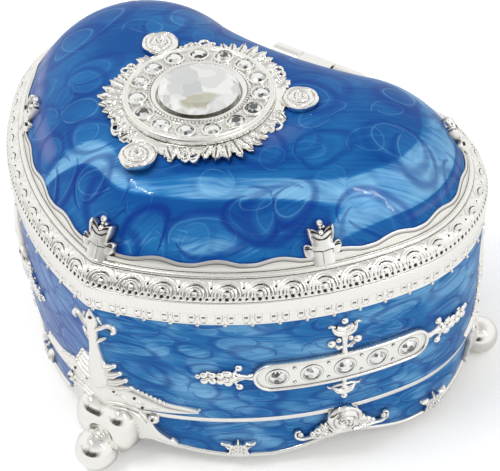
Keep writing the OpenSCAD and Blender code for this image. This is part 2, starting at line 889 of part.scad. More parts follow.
stone_seat = ring_top - 1;
module medallion_ring() {
    color(silver) place() difference() {
        at_medallion(ring_z) cylinder(r = ring_radius, h = ring_thickness);
        at_medallion(ring_top - crystal_seat)
            cylinder(r = crystal_radius + stone_clearance, h = 2 * crystal_seat);
        at_ring_stones() translate([0, 0, stone_seat])
            cylinder(r = stone_radius + stone_clearance, h = 2);
    }
}

module ring_crystals() {
    color(crystal_clear) place() at_ring_stones() translate([0, 0, stone_seat])
        stone(stone_radius, 1.5);
}

module centre_crystal() {
    r = crystal_radius;
    h = crystal_height;
    color(crystal_clear) place() at_medallion(ring_top - crystal_seat) rotate_extrude()
        polygon([[0, 0], [r, 0], [r, 0.32 * h], [r * 0.8, 0.68 * h], [r * 0.46, h], [0, h]]);
}

body_shell();
wall_enamel();
apron_enamel();
wall_lining();
floor_pad();
leg_front();
leg_right();
leg_left();
leg_screws();
plaque_right();
plaque_left();
plaque_crystals_right();
plaque_crystals_left();
apron_rose_right();
apron_rose_left();
apron_crowns();
hinge_pin();
lid_shell();
lid_enamel();
lid_lining_velvet();
lid_crowns();
medallion_wreath();
medallion_nuts();
medallion_ring();
ring_crystals();
centre_crystal();
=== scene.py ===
"""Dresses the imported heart-shaped trinket box in silver plate, blue enamel, crystal and velvet.

Sizes are in millimetres and are turned to metres where a mesh is made. Every piece is modelled in
place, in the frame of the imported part, and rides on the body or on the lid.
"""

from __future__ import annotations

import json
import logging
from collections.abc import Callable, Sequence
from dataclasses import dataclass, field
from enum import Enum
from functools import partial
from math import acos, atan2, cos, degrees, exp, hypot, log, pi, radians, sin, sqrt

import bmesh
import bpy
import numpy as np
from mathutils import Matrix, Vector

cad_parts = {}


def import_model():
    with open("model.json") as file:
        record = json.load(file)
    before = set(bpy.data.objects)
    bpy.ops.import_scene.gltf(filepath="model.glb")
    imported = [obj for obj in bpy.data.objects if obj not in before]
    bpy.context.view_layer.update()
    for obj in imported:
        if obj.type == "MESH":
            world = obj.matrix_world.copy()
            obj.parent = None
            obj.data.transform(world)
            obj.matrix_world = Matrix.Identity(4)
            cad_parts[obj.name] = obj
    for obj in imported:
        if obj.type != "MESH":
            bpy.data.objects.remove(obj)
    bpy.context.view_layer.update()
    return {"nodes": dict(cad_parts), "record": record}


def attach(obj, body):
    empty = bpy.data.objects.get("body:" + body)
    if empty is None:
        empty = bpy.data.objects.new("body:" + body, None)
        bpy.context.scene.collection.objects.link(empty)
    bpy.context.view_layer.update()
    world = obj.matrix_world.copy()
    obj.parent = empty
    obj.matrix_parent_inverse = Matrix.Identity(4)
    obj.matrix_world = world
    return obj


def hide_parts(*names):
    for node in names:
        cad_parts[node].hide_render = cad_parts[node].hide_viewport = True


LOG = logging.getLogger("trinket_box")
NodeAdder = Callable[..., bpy.types.Node]
Rows = Sequence[Sequence[float]]
Move = Callable[[np.ndarray], np.ndarray]
MM = 0.001
WELD = 0.002 * MM
KNUCKLE_RADIUS = 2.2
HINGE_Z = 48.2
UP = np.array([0, 0, 1])
# Azimuth of the camera, along which the dome's unrolled pattern, its painted light and the large
# crystal's painted reflection are laid.
CAMERA_WAY = radians(36.6)
FULL_TURN = 2 * pi


class Side(Enum):
    """Which half of the box an ornament stands on."""

    RIGHT = 1.0
    LEFT = -1.0


class Slot(Enum):
    """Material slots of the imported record."""

    PLATE = "silver_plate"
    POLISHED = "polished_silver"
    ENAMEL = "blue_enamel"
    VELVET = "blue_velvet"
    CRYSTAL = "clear_crystal"
    STEEL = "steel"


# ---- nodes and colours


def linear(hex_code: str) -> tuple[float, float, float, float]:
    """Turns an sRGB hex colour such as "#1f5fae" into linear light, with an alpha of one."""
    parts = [int(hex_code[i:i + 2], 16) / 255 for i in (1, 3, 5)]
    return (*[c / 12.92 if c <= 0.04045 else ((c + 0.055) / 1.055) ** 2.4 for c in parts], 1.0)


def add_node(tree: bpy.types.NodeTree, kind: str, *inputs: object,
        **settings: object) -> bpy.types.Node:
    """Adds one node with its settings, values and links.

    Args:
        tree: Node tree that takes the node.
        kind: Blender's type name of the node; a shader node's without its first two words.
        *inputs: Value, source socket or source node of each input in turn, or a dictionary of
            them by the input's name or number. A source node gives its first live output, and a
            hex colour is turned to linear light.
        **settings: Properties of the node.

    Returns:
        The new node.
    """
    node = tree.nodes.new(kind if kind.startswith(("GeometryNode", "NodeGroup"))
        else f"ShaderNode{kind}")
    for name, value in settings.items():
        setattr(node, name, value)
    given: dict = {}
    for i, value in enumerate(inputs):
        given.update(value if isinstance(value, dict) else {i: value})
    for key, value in given.items():
        if isinstance(value, str) and value.startswith("#"):
            value = linear(value)
        if isinstance(value, bpy.types.Node):
            value = next(socket for socket in value.outputs if socket.enabled)
        if isinstance(value, bpy.types.NodeSocket):
            tree.links.new(value, node.inputs[key])
        else:
            node.inputs[key].default_value = value
    return node


def new_material(name: str) -> tuple[bpy.types.Material, NodeAdder]:
    """Makes a material with an empty node tree.

    Args:
        name: Name of the material.

    Returns:
        The material, and the function that adds a node to it.
    """
    material = bpy.data.materials.new(name)
    material.use_nodes = True
    material.node_tree.nodes.clear()
    return material, partial(add_node, material.node_tree)


def finish_shader(add: NodeAdder, **inputs: object) -> None:
    """Ends a material in one Principled shader; underscores stand for spaces in the names."""
    add("OutputMaterial", add("BsdfPrincipled",
        {key.replace("_", " "): value for key, value in inputs.items()}))


# ---- finishes


@dataclass(frozen=True)
class SilverPlate:
    """Silver flashed over a zinc casting: creamy white on the high edges, with painted shade in the
    hollows.
    """

    # The eye gets a bright, warm grey metal with soft reflections, whose hollows get painted shade
    # so that they read as drawn lines. The grain of the casting, about 0.1 mm, is drawn at 0.35 mm
    # so that it shows.
    name: str = "silver plate over cast zinc"
    bright: str = "#f5f3ee"
    # Colour of the painted shade in the crevices and hollows.
    hollow: str = "#35322f"
    roughness: float = 0.24
    # Reach of the painted shade in the crevices, and the closed-in range over which it fades in.
    crevice: float = 0.35
    crevice_low: float = 0.1
    crevice_high: float = 0.55
    grain: float = 0.35
    grain_depth: float = 0.012

    def build(self) -> bpy.types.Material:
        """Makes the material, with painted shade in the crevices by how closed in they are, and in
        the hollows that the mesh marks.
        """
        material, add = new_material(self.name)
        place = add("TexCoord").outputs["Object"]
        # Painted shade: closed-in crevices and the points that the mesh marks take the shade
        # colour.
        closed = add("AmbientOcclusion", {"Distance": self.crevice * MM}, samples=8)
        depth = add("MapRange", closed.outputs["AO"], self.crevice_low, self.crevice_high)
        hollow = add("Attribute", attribute_name="hollow")
        shown = add("Math", depth, hollow.outputs["Fac"], operation="SUBTRACT", use_clamp=True)
        tint = add("Mix", {"Factor": shown, 6: self.hollow, 7: self.bright}, data_type="RGBA")
        cast = add("TexNoise", {"Vector": place, "Scale": 1 / (self.grain * MM), "Detail": 3})
        rough = add("MapRange", cast, 0.0, 1.0, self.roughness * 0.7, self.roughness * 1.4)
        bump = add("Bump", {"Height": cast, "Strength": 0.25, "Distance": self.grain_depth * MM})
        finish_shader(add, Base_Color=tint, Metallic=1.0, Roughness=rough, Normal=bump)
        return material


@dataclass(frozen=True)
class BrushedEnamel:
    """Pearl enamel brushed on in overlapping swirls and flooded with a clear gloss coat.

    The piece's "brushed" attribute holds the place on the unrolled surface in millimetres, and
    a value of painted light and shade, which on the dome follows the camera's direction.
    """

    # The eye gets deep blue rings and fine combed streaks under a clear gloss, with painted light
    # bands, painted shade near the castings and a painted lavender reflection on the flanks. The
    # bristles' marks, about 0.1 mm, are drawn at 0.5 mm to show.
    name: str = "pearl enamel, brushed in swirls"
    # Navy of the swirls' strokes, and of the painted shade near the castings.
    deep: str = "#03298a"
    mid: str = "#08519a"
    light: str = "#2f86c4"
    # Pale blue of the thin lines beside the strokes, and of the painted highlight where the tone
    # runs highest.
    pale: str = "#8cc4ea"
    # Lavender of the painted reflection on the flanks and the left wall.
    reflection_tint: str = "#7480b8"
    layers: tuple[tuple[float, float, float], ...] = ((12.4, 3.1, 0.9), (14.8, 17.9, 0.7),
        (9.4, 41.3, 0.2))
    # Painted light and shade by the attribute's value: a bright band above the dome's front
    # shoulder, a dark line along it and mid tones down the slope.
    run: tuple[tuple[float, float], ...] = ((0, 0.2), (0.21, 0.32), (0.25, 0.78), (0.36, 0.98),
        (0.41, 0.92), (0.45, 0.08), (0.6, 0.28), (0.88, 0.55), (1, 0.2))
    ring: float = 0.36
    thick: float = 0.1
    line: float = 0.013
    streak: float = 0.5

    def swirls(self, add: NodeAdder, place: bpy.types.NodeSocket, size: float,
            shift: float) -> tuple[bpy.types.Node, ...]:
        """Draws one layer of swirls, each a flat ring whose stroke swells and tapers.

        Args:
            add: Adds a node to the material.
            place: Place on the unrolled surface in millimetres.
            size: Spacing of the swirls in millimetres.
            shift: Offset of the layer, so that no two layers agree.

        Returns:
            How dark the stroke is, the thin light line beside it, how far inside the swirl the
            place lies, and the fine streaks that the brush left there.
        """
        drift = add("TexNoise", {"Vector": place, "Scale": 0.55 / size, "Detail": 1},
            noise_dimensions="2D")
        bent = add("VectorMath", drift.outputs["Color"], (0.9, 0.9, 0), (shift, shift * 1.7, 0),
            operation="MULTIPLY_ADD")
        spread = add("VectorMath", place, (1 / size, 1.2 / size, 0), bent,
            operation="MULTIPLY_ADD")
        cell = add("TexVoronoi", {"Vector": spread, "Scale": 1, "Randomness": 0.55},
            voronoi_dimensions="2D")
        own = add("SeparateColor", cell.outputs["Color"])
        arm = add("VectorMath", spread, cell.outputs["Position"], operation="SUBTRACT")
        tilt = add("MapRange", own, 0.0, 1.0, -0.6, 0.6)
        turned_arm = add("VectorRotate", {"Vector": arm, "Angle": tilt}, rotation_type="Z_AXIS")
        axes = add("SeparateXYZ", turned_arm)
        flat = add("Math", axes.outputs[1], 1.06, operation="MULTIPLY")
        reach = add("VectorMath", add("CombineXYZ", axes, flat), operation="LENGTH")
        angle = add("Math", flat, axes, operation="ARCTAN2")
        started = add("Math", angle, 1 / FULL_TURN, own.outputs[1], operation="MULTIPLY_ADD")
        round_it = add("Math", started, operation="FRACT")
        radius = add("Math", round_it, 0.3 * self.ring, 0.8 * self.ring, operation="MULTIPLY_ADD")
        ahead = add("Math", 1.0, round_it, operation="SUBTRACT")
        swell = add("Math", round_it, ahead, operation="MULTIPLY")
        half = add("Math", swell, 4 * self.thick, 0.012, operation="MULTIPLY_ADD")
        off = add("Math", reach, radius, operation="SUBTRACT")
        near = add("Math", off, operation="ABSOLUTE")
        share = add("Math", near, half, operation="DIVIDE")
        stroke = add("MapRange", share, 0.1, 1.1, 1.0, 0.0, interpolation_type="SMOOTHSTEP")
        beside = add("Math", off, half, operation="ADD")
        edge = add("Math", beside, operation="ABSOLUTE")
        thin = add("MapRange", edge, self.line * 0.3, self.line * 1.3, 1.0, 0.0,
            interpolation_type="SMOOTHSTEP")
        shown = add("Math", thin, own.outputs[2], operation="MULTIPLY")
        within = add("MapRange", off, -0.14, 0.02, 1.0, 0.0, interpolation_type="SMOOTHSTEP")
        combed = add("VectorMath", turned_arm, (1.6, size / self.streak, 0), cell.outputs["Color"],
            operation="MULTIPLY_ADD")
        brushed = add("TexNoise", {"Vector": combed, "Scale": 1, "Detail": 3, "Distortion": 0.35})
        return stroke, shown, within, brushed

    @staticmethod
    def stops(ramp: bpy.types.ColorRamp, values: Sequence[tuple[float, float]]) -> None:
        """Sets a ramp's grey stops.

        Args:
            ramp: The ramp.
            values: Place and grey of each stop.
        """
        for stop, (at, value) in zip((ramp.elements[0], ramp.elements[-1]),
                (values[0], values[-1])):
            stop.position, stop.color = at, (value, value, value, 1.0)
        for at, value in values[1:-1]:
            ramp.elements.new(at).color = (value, value, value, 1.0)

    def build(self) -> bpy.types.Material:
        """Makes the material from layers of swirls, the brush's streaks, painted light and shade
        from the attribute, a painted reflection and painted navy shade near the castings.
        """
        material, add = new_material(self.name)
        place = add("Attribute", attribute_name="brushed").outputs["Vector"]
        # The attribute's third part is its painted light and shade, not the slope itself.
        slope = add("SeparateXYZ", place).outputs[2]
        flat = add("VectorMath", place, (1, 1, 0), operation="MULTIPLY")
        long_brush = add("Mapping", {"Vector": flat, "Rotation": (0, 0, 0.08),
            "Scale": (0.09, 1 / self.streak, 1)})
        streaks = add("TexNoise", {"Vector": long_brush, "Scale": 1, "Detail": 4,
            "Distortion": 0.5})
        clouds = add("TexNoise", {"Vector": flat, "Scale": 1 / 14, "Detail": 2, "Distortion": 0.3})
        dark, pale, comb, inside = None, None, streaks, None
        for size, shift, weight in self.layers:
            stroke, thin, within, brushed = self.swirls(add, flat, size, shift)
            weak = add("Math", stroke, weight, operation="MULTIPLY")
            stroke = weak
            comb = add("Mix", {"Factor": within, 2: comb, 3: brushed})
            if dark is None:
                dark, pale, inside = stroke, thin, within
                continue
            dark, pale, inside = (add("Math", old, fresh, operation="MAXIMUM")
                for old, fresh in ((dark, stroke), (pale, thin), (inside, within)))
        tone = add("Math", comb, 0.62, clouds, operation="MULTIPLY_ADD")
        tone = add("Math", inside, 0.07, tone, operation="MULTIPLY_ADD")
        # Painted light and shade from the attribute join the swirls' tone.
        run = add("ValToRGB", slope)
        self.stops(run.color_ramp, self.run)
        tone = add("Math", run, 0.8, tone, operation="MULTIPLY_ADD")
        level = add("MapRange", tone, 0.93, 1.62)
        body = add("Mix", {"Factor": level, 6: self.mid, 7: self.light}, data_type="RGBA")
        # Painted highlight where the tone runs highest.
        bright = add("MapRange", tone, 1.34, 1.72, 0.0, 0.9)
        body = add("Mix", {"Factor": bright, 6: body, 7: self.pale}, data_type="RGBA")
        # Painted reflection of the white surroundings: lavender in faint random patches, on the
        # left wall, and on the dome's flanks where the attribute's value runs low.
        reflection_patches = add("TexNoise", {"Vector": flat, "Scale": 1 / 21, "Detail": 2, "Distortion": 0.6})
        reflection_share = add("MapRange", reflection_patches, 0.58, 0.8, 0.0, 0.05)
        along = add("SeparateXYZ", place)
        left_wall_reflection = add("ValToRGB", add("Math", along, 500, operation="DIVIDE"))
        self.stops(left_wall_reflection.color_ramp, ((0.36, 0), (0.4, 0.55), (0.6, 0.55), (0.7, 0), (1, 0)))
        flank = add("MapRange", slope, 0.0, 0.1, 0.7, 0.0)
        for reflection_mask in (left_wall_reflection, flank):
            reflection_share = add("Math", reflection_share, reflection_mask, operation="MAXIMUM")
        with_reflection = add("Mix", {"Factor": reflection_share, 6: body, 7: self.reflection_tint}, data_type="RGBA")
        lined = add("Math", pale, 0.24, operation="MULTIPLY")
        drawn = add("Mix", {"Factor": lined, 6: with_reflection, 7: self.pale}, data_type="RGBA")
        # Painted shade: navy where castings close the enamel in, joined with the swirls' strokes,
        # and stronger where the painted-light value is higher.
        closed = add("AmbientOcclusion", {"Distance": 2.8 * MM}, samples=8)
        shade_near_castings = add("MapRange", closed.outputs["AO"], 0.5, 0.97, 1.0, 0.0)
        strokes_and_shade = add("Math", dark, shade_near_castings, operation="MAXIMUM")
        depth = add("MapRange", slope, 0.2, 0.62, 0.5, 0.85)
        deepened = add("Math", strokes_and_shade, depth, operation="MULTIPLY")
        colour = add("Mix", {"Factor": deepened, 6: drawn, 7: self.deep}, data_type="RGBA")
        ripple = add("TexNoise", {"Vector": flat, "Scale": 1 / 2.6, "Detail": 3})
        bump = add("Bump", {"Height": ripple, "Strength": 0.3, "Distance": 0.22 * MM})
        finish_shader(add, Base_Color=colour, Metallic=0.12, Roughness=0.4,
            Specular_IOR_Level=0.02, Coat_Weight=0.25, Coat_Roughness=0.04, Coat_IOR=1.45,
            Coat_Normal=bump)
        return material


@dataclass(frozen=True)
class FlockedVelvet:
    """Short nylon flock glued to card: dark, with a pale sheen where the pile is seen edge-on."""

    # The eye gets a dark nap with stroked patches and a pale rim of sheen. The fibres, about
    # 0.02 mm thick, are drawn at 0.35 mm so that they show.
    name: str = "flocked velvet"
    colour: str = "#16245e"
    crushed: str = "#27397f"
    pile: float = 0.35

    def build(self) -> bpy.types.Material:
        """Makes the material with patches where the pile has been stroked."""
        material, add = new_material(self.name)
        place = add("TexCoord").outputs["Object"]
        patches = add("TexNoise", {"Vector": place, "Scale": 1 / (9 * MM), "Detail": 3})
        strokes = add("MapRange", patches, 0.42, 0.62)
        fibre = add("TexNoise", {"Vector": place, "Scale": 1 / (self.pile * MM), "Detail": 2})
        tone = add("Mix", {"Factor": strokes, 6: self.colour, 7: self.crushed}, data_type="RGBA")
        bump = add("Bump", {"Height": fibre, "Strength": 0.7, "Distance": 0.15 * MM})
        finish_shader(add, Base_Color=tone, Roughness=0.95, Sheen_Weight=0.6, Sheen_Roughness=0.4,
            Sheen_Tint="#9fb0e8", Normal=bump)
        return material


@dataclass(frozen=True)
class FoiledCrystal:
    """Lead crystal with a silver foil behind it: clear, with painted bright and dark flashes of
    reflection.
    """

    # The eye gets hard white and dark flashes, painted reflections that change from facet to facet.
    name: str = "foil-backed lead crystal"
    # Colours of the painted bright and dark reflections in the facets.
    tint: str = "#f1f2ef"
    shade: str = "#3b3c3e"
    facet: float = 2.6
    dark_share: float = 0.3
    foil: float = 0.9
    olive_reflection: tuple[float, float] | None = None

    def build(self) -> bpy.types.Material:
        """Makes the material as foil facets seen through a hard clear coat, with painted
        reflections.
        """
        material, add = new_material(self.name)
        place = add("TexCoord").outputs["Object"]
        # Painted reflections: facets seen through the table, and a bright or dark flash for each
        # facet.
        back = add("TexVoronoi", {"Vector": place, "Scale": 1 / (self.facet * MM)},
            distance="MANHATTAN")
        own = add("SeparateColor", back.outputs["Color"])
        flash = add("Attribute", attribute_name="flash")
        both = add("Math", own, 0.5, flash.outputs["Fac"], operation="MULTIPLY_ADD")
        tone = add("MapRange", both, self.dark_share, self.dark_share + 0.35)
        colour = add("Mix", {"Factor": tone, 6: self.shade, 7: self.tint}, data_type="RGBA")
        seen = colour
        # Painted reflection: an olive-grey patch near the front of the table, laid along the
        # camera's direction.
        if self.olive_reflection:
            x, y = self.olive_reflection
            near = add("Mapping", {"Vector": place, "Location": (x * MM, y * MM, 0),
                "Rotation": (0, 0, CAMERA_WAY), "Scale": (4.2 * MM, 2.1 * MM, 1)},
                vector_type="TEXTURE")
            away = add("VectorMath", near, operation="LENGTH")
            ragged = add("Math", own.outputs[1], 0.7, away, operation="MULTIPLY_ADD")
            shown = add("MapRange", ragged, 1.0, 1.3, 0.8, 0.0)
            seen = add("Mix", {"Factor": shown, 6: seen, 7: "#b0ad92"}, data_type="RGBA")
        finish_shader(add, Base_Color=seen, Metallic=self.foil, Roughness=0.12, Coat_Weight=1.0,
            Coat_Roughness=0.02, Coat_IOR=1.6)
        return material


@dataclass(frozen=True)
class NickelSteel:
    """Turned steel with a thin nickel plate: fine lathe marks and a satin shine."""

    # The eye gets a satin grey with faint marks; the lathe's 0.1 mm feed is drawn at 0.4 mm.
    name: str = "nickel-plated steel"
    colour: str = "#c9c8c4"

    def build(self) -> bpy.types.Material:
        """Makes the material with fine turning marks along X."""
        material, add = new_material(self.name)
        place = add("TexCoord").outputs["Object"]
        marks = add("TexNoise", {"Vector": place, "Scale": 1 / (0.4 * MM), "Detail": 2})
        rough = add("MapRange", marks, 0.0, 1.0, 0.22, 0.42)
        finish_shader(add, Base_Color=self.colour, Metallic=1.0, Roughness=rough)
        return material


class Finishes:
    """Holds one built material for each finish of the box."""

    def __init__(self) -> None:
        """Builds every finish once."""
        self.plate = SilverPlate().build()
        # Polished castings mirror the room; tumbled ones keep a soft, milky shine.
        # Both take a lighter painted shade in their hollows.
        self.polished = SilverPlate(name="mirror-polished silver plate", roughness=0.08,
            hollow="#4a4846", grain_depth=0.003).build()
        self.tumbled = SilverPlate(name="tumbled silver plate", roughness=0.36, hollow="#4a4846",
            grain_depth=0.003).build()
        self.enamel = BrushedEnamel().build()
        self.velvet = FlockedVelvet().build()
        self.crystal = FoiledCrystal().build()
        # The large crystal takes lighter painted reflections and a painted olive reflection near
        # its front.
        self.large_crystal = FoiledCrystal(name="foil-backed crystal, large table", facet=4.4,
            shade="#c3c5c4", dark_share=0.2, foil=0.4, olive_reflection=(3.1, -3.8)).build()
        self.steel = NickelSteel().build()


# ---- the heart


@dataclass(frozen=True)
class HeartOutline:
    """The heart's outline at any inset from the rim, as arcs, in millimetres."""

    box_width: float = 106.0
    lobe_radius: float = 28.2
    side_radius: float = 73.6
    side_turn: float = 27.4
    tip_rounding: float = 4.0
    cleft_rounding: float = 21.2
    dome_inset: float = 4.9
    ridge_soften: float = 0.5
    cleft_soften: float = 7.0
    hinge_offset: float = 0.3
    hinge_y: float = 41.85
    steps: tuple[int, int, int, int] = (10, 80, 90, 16)

    @property
    def centre_y(self) -> float:
        """Distance from the lobes' centre line to the part's origin."""
        return self.hinge_y - self.lobe_radius - self.hinge_offset

    @property
    def lobe_x(self) -> float:
        """Distance of a lobe's centre from the middle."""
        return self.box_width / 2 - self.lobe_radius

    @property
    def side_centre(self) -> np.ndarray:
        """Centre of the right side's arc, with the lobes' centres at Y 0."""
        turn = radians(self.side_turn)
        reach = self.side_radius - self.lobe_radius
        return np.array([self.lobe_x - reach * cos(turn), reach * sin(turn)])

    def half(self, inset: float) -> tuple[np.ndarray, np.ndarray]:
        """Gives the right half of the outline.

        Args:
            inset: Distance inside the rim.

        Returns:
            Points from the front tip to the cleft, and the outward direction at each.
        """
        past = max(inset - self.dome_inset, 0.0)
        lobe, side = self.lobe_radius - inset, self.side_radius - inset
        tip = self.tip_rounding + self.ridge_soften * past
        cleft = self.cleft_rounding + inset + self.cleft_soften * past
        centre = self.side_centre
        tip_at = np.array([0, centre[1] - sqrt((side - tip) ** 2 - centre[0] ** 2)])
        cleft_at = np.array([0, sqrt((lobe + cleft) ** 2 - self.lobe_x ** 2)])
        tip_end = degrees(atan2(tip_at[1] - centre[1], -centre[0]))
        lobe_end = degrees(atan2(cleft_at[1], -self.lobe_x))
        arcs = ((tip_at, tip, -90, tip_end, 1), (centre, side, tip_end, -self.side_turn, 1),
            (np.array([self.lobe_x, 0]), lobe, -self.side_turn, lobe_end, 1),
            (cleft_at, cleft, lobe_end - 180, -90, -1))
        points, ways = [], []
        for (at, radius, start, end, sense), steps in zip(arcs, self.steps):
            for i in range(1 if points else 0, steps + 1):
                turn = radians(start + (end - start) * i / steps)
                way = np.array([cos(turn), sin(turn)])
                points.append(at + radius * way)
                ways.append(sense * way)
        return np.array(points), np.array(ways)

    def ring(self, inset: float) -> tuple[np.ndarray, np.ndarray]:
        """Gives the whole outline, anticlockwise from the front tip, in the part's frame.

        Args:
            inset: Distance inside the rim.

        Returns:
            Points and outward directions.
        """
        points, ways = self.half(inset)
        mirror = np.array([-1, 1])
        points = np.vstack([points, points[-2:0:-1] * mirror]) + [0.0, self.centre_y]
        return points, np.vstack([ways, ways[-2:0:-1] * mirror])

    def run(self) -> tuple[np.ndarray, np.ndarray, float]:
        """Gives the rim's points, how far each lies from the front tip, and the rim's length."""
        ring, _ = self.ring(0.0)
        step = np.linalg.norm(np.roll(ring, -1, 0) - ring, axis=1)
        return ring, np.concatenate([[0], np.cumsum(step)[:-1]]), float(step.sum())

    def length(self, inset: float = 0.0) -> float:
        """Gives the outline's length at an inset."""
        points, _ = self.ring(inset)
        return float(np.linalg.norm(np.roll(points, -1, 0) - points, axis=1).sum())

    def along(self, turn: float, side: Side, lobe: bool = False) -> float:
        """Gives the distance along the rim, from the front tip, of a place on it.

        Args:
            turn: Degrees below +X about the side arc's centre, or above it about the lobe's.
            side: Half of the box.
            lobe: Whether the place is on the lobe's arc.

        Returns:
            Distance along the rim, negative on the left half.
        """
        points, _ = self.half(0.0)
        at = np.array([self.lobe_x, 0]) if lobe else self.side_centre
        radius = self.lobe_radius if lobe else self.side_radius
        angle = radians(turn if lobe else -turn)
        place = at + radius * np.array([cos(angle), sin(angle)])
        step = np.linalg.norm(np.diff(points, axis=0), axis=1)
        nearest = int(np.argmin(np.linalg.norm(points - place, axis=1)))
        way = points[min(nearest + 1, len(points) - 1)] - points[max(nearest - 1, 0)]
        gap = float(np.dot(place - points[nearest], way / np.linalg.norm(way)))
        return side.value * (float(step[:nearest].sum()) + gap)

    def unroll_wall(self, points: np.ndarray) -> np.ndarray:
        """Unrolls points of the wall for the brushed finish.

        Args:
            points: Points in the part's frame.

        Returns:
            Place along the rim, stretched height, and a fixed value of 0.24 for the finish's
            painted light and shade.
        """
        ring, run, total = self.run()
        nearest = np.array([int(np.argmin(((ring - p[:2]) ** 2).sum(1))) for p in points])
        along = run[nearest]
        signed = np.where(along > total / 2, along - total, along)
        skew = 12 * np.sin(FULL_TURN * signed / total)
        return np.column_stack([np.abs(signed) + 200 * (signed < 0), points[:, 2] * 1.7 + skew,
            np.full(len(points), 0.24)])

    def unroll_dome(self, points: np.ndarray, low: float, high: float) -> np.ndarray:
        """Unrolls points of the dome for the brushed finish, with its painted light and shade.

        Args:
            points: Points in the part's frame.
            low: Height of the dome's edge.
            high: Height of its top.

        Returns:
            Place on the dome with its flank laid flat, and a value of painted light and shade that
            follows the camera's direction.
        """
        centre = np.array([0, self.centre_y - 13])
        away = points[:, :2] - centre
        reach = np.maximum(np.linalg.norm(away, axis=1), 1e-6)
        drop = np.clip((high - points[:, 2]) / (high - low), 0.0, 1.0)
        laid = centre + away * (1 + 0.4 * drop * (high - low) / reach)[:, None]
        c, s = cos(CAMERA_WAY), sin(CAMERA_WAY)
        # Painted light and shade by the camera's direction: the front that faces the camera runs
        # through a light band and a dark line down its shoulder, the rest stays low, the right
        # flank gets a lighter band, and the left and far right flanks drop towards zero, where the
        # finish lays its painted reflection.
        front = (away[:, 0] * s - away[:, 1] * c) / reach
        down_share = drop ** 0.8
        across = away[:, 0] * c + away[:, 1] * s
        low_side = 0.12 + 0.08 * down_share
        right = self.ease((across - 10) / 18)
        facing = self.ease((front - 0.1) / 0.5) * (1 - right)
        flank = np.sin(pi * np.clip((down_share - 0.3) / 0.6, 0, 1)) * self.ease((front + 0.6) / 0.5)
        value = low_side + (down_share - low_side) * facing + 0.24 * right * flank
        reflection_mask = (self.ease((-across / reach - 0.2) / 0.3)
            * np.sin(pi * np.clip((down_share - 0.56) / 0.38, 0, 1))
            + self.ease((across / reach - 0.7) / 0.2) * np.sin(pi * np.clip((down_share - 0.8) / 0.16, 0,
            1)) * 0.8)
        value = value * np.clip(1 - reflection_mask * (1 - np.clip(4 * facing, 0, 1)), 0, 1)
        return np.column_stack([(laid[:, 0] * c + laid[:, 1] * s) * 0.78 + 400,
            (laid[:, 1] * c - laid[:, 0] * s) * 0.78 + 400, value])

    @staticmethod
    def ease(share: np.ndarray) -> np.ndarray:
        """Eases a share from 0 to 1."""
        share = np.clip(share, 0.0, 1.0)
        return share * share * (3 - 2 * share)

    def wrap(self, flat: np.ndarray, start: float, inset: float = 0.0) -> np.ndarray:
        """Lays a flat relief on the wall.

        Args:
            flat: Points whose X runs along the wall, Y up and Z outwards.
            start: Distance along the rim of the relief's X zero.
            inset: Inset of the wall that the relief's Z zero lies on.

        Returns:
            The points in the part's frame.
        """
        points, ways = self.ring(0.0)
        closed = np.vstack([points, points[:1]])
        facing = np.vstack([ways, ways[:1]])
        run = np.concatenate([[0], np.cumsum(np.linalg.norm(np.diff(closed, axis=0), axis=1))])
        at = (flat[:, 0] + start) % run[-1]
        base = np.stack([np.interp(at, run, closed[:, k]) for k in (0, 1)], 1)
        way = np.stack([np.interp(at, run, facing[:, k]) for k in (0, 1)], 1)
        way /= np.linalg.norm(way, axis=1)[:, None]
        spot = base + way * (flat[:, 2] - inset)[:, None]
        return np.column_stack([spot, flat[:, 1]])


# ---- meshes


def add_object(name: str, data: bpy.types.ID) -> bpy.types.Object:
    """Adds an object to the scene, at the origin."""
    piece = bpy.data.objects.new(name, data)
    bpy.context.scene.collection.objects.link(piece)
    return piece


def settled(holder: bpy.types.Object) -> bpy.types.Mesh:
    """Gives a plain mesh of an object as its modifiers leave it."""
    shot = bpy.context.evaluated_depsgraph_get()
    return bpy.data.meshes.new_from_object(holder.evaluated_get(shot), depsgraph=shot)


def shade(mesh: bpy.types.Mesh, crease: float) -> None:
    """Shades a mesh smooth, but for edges sharper than the crease in degrees."""
    mesh.polygons.foreach_set("use_smooth", [True] * len(mesh.polygons))
    mesh.set_sharp_from_angle(angle=radians(crease))


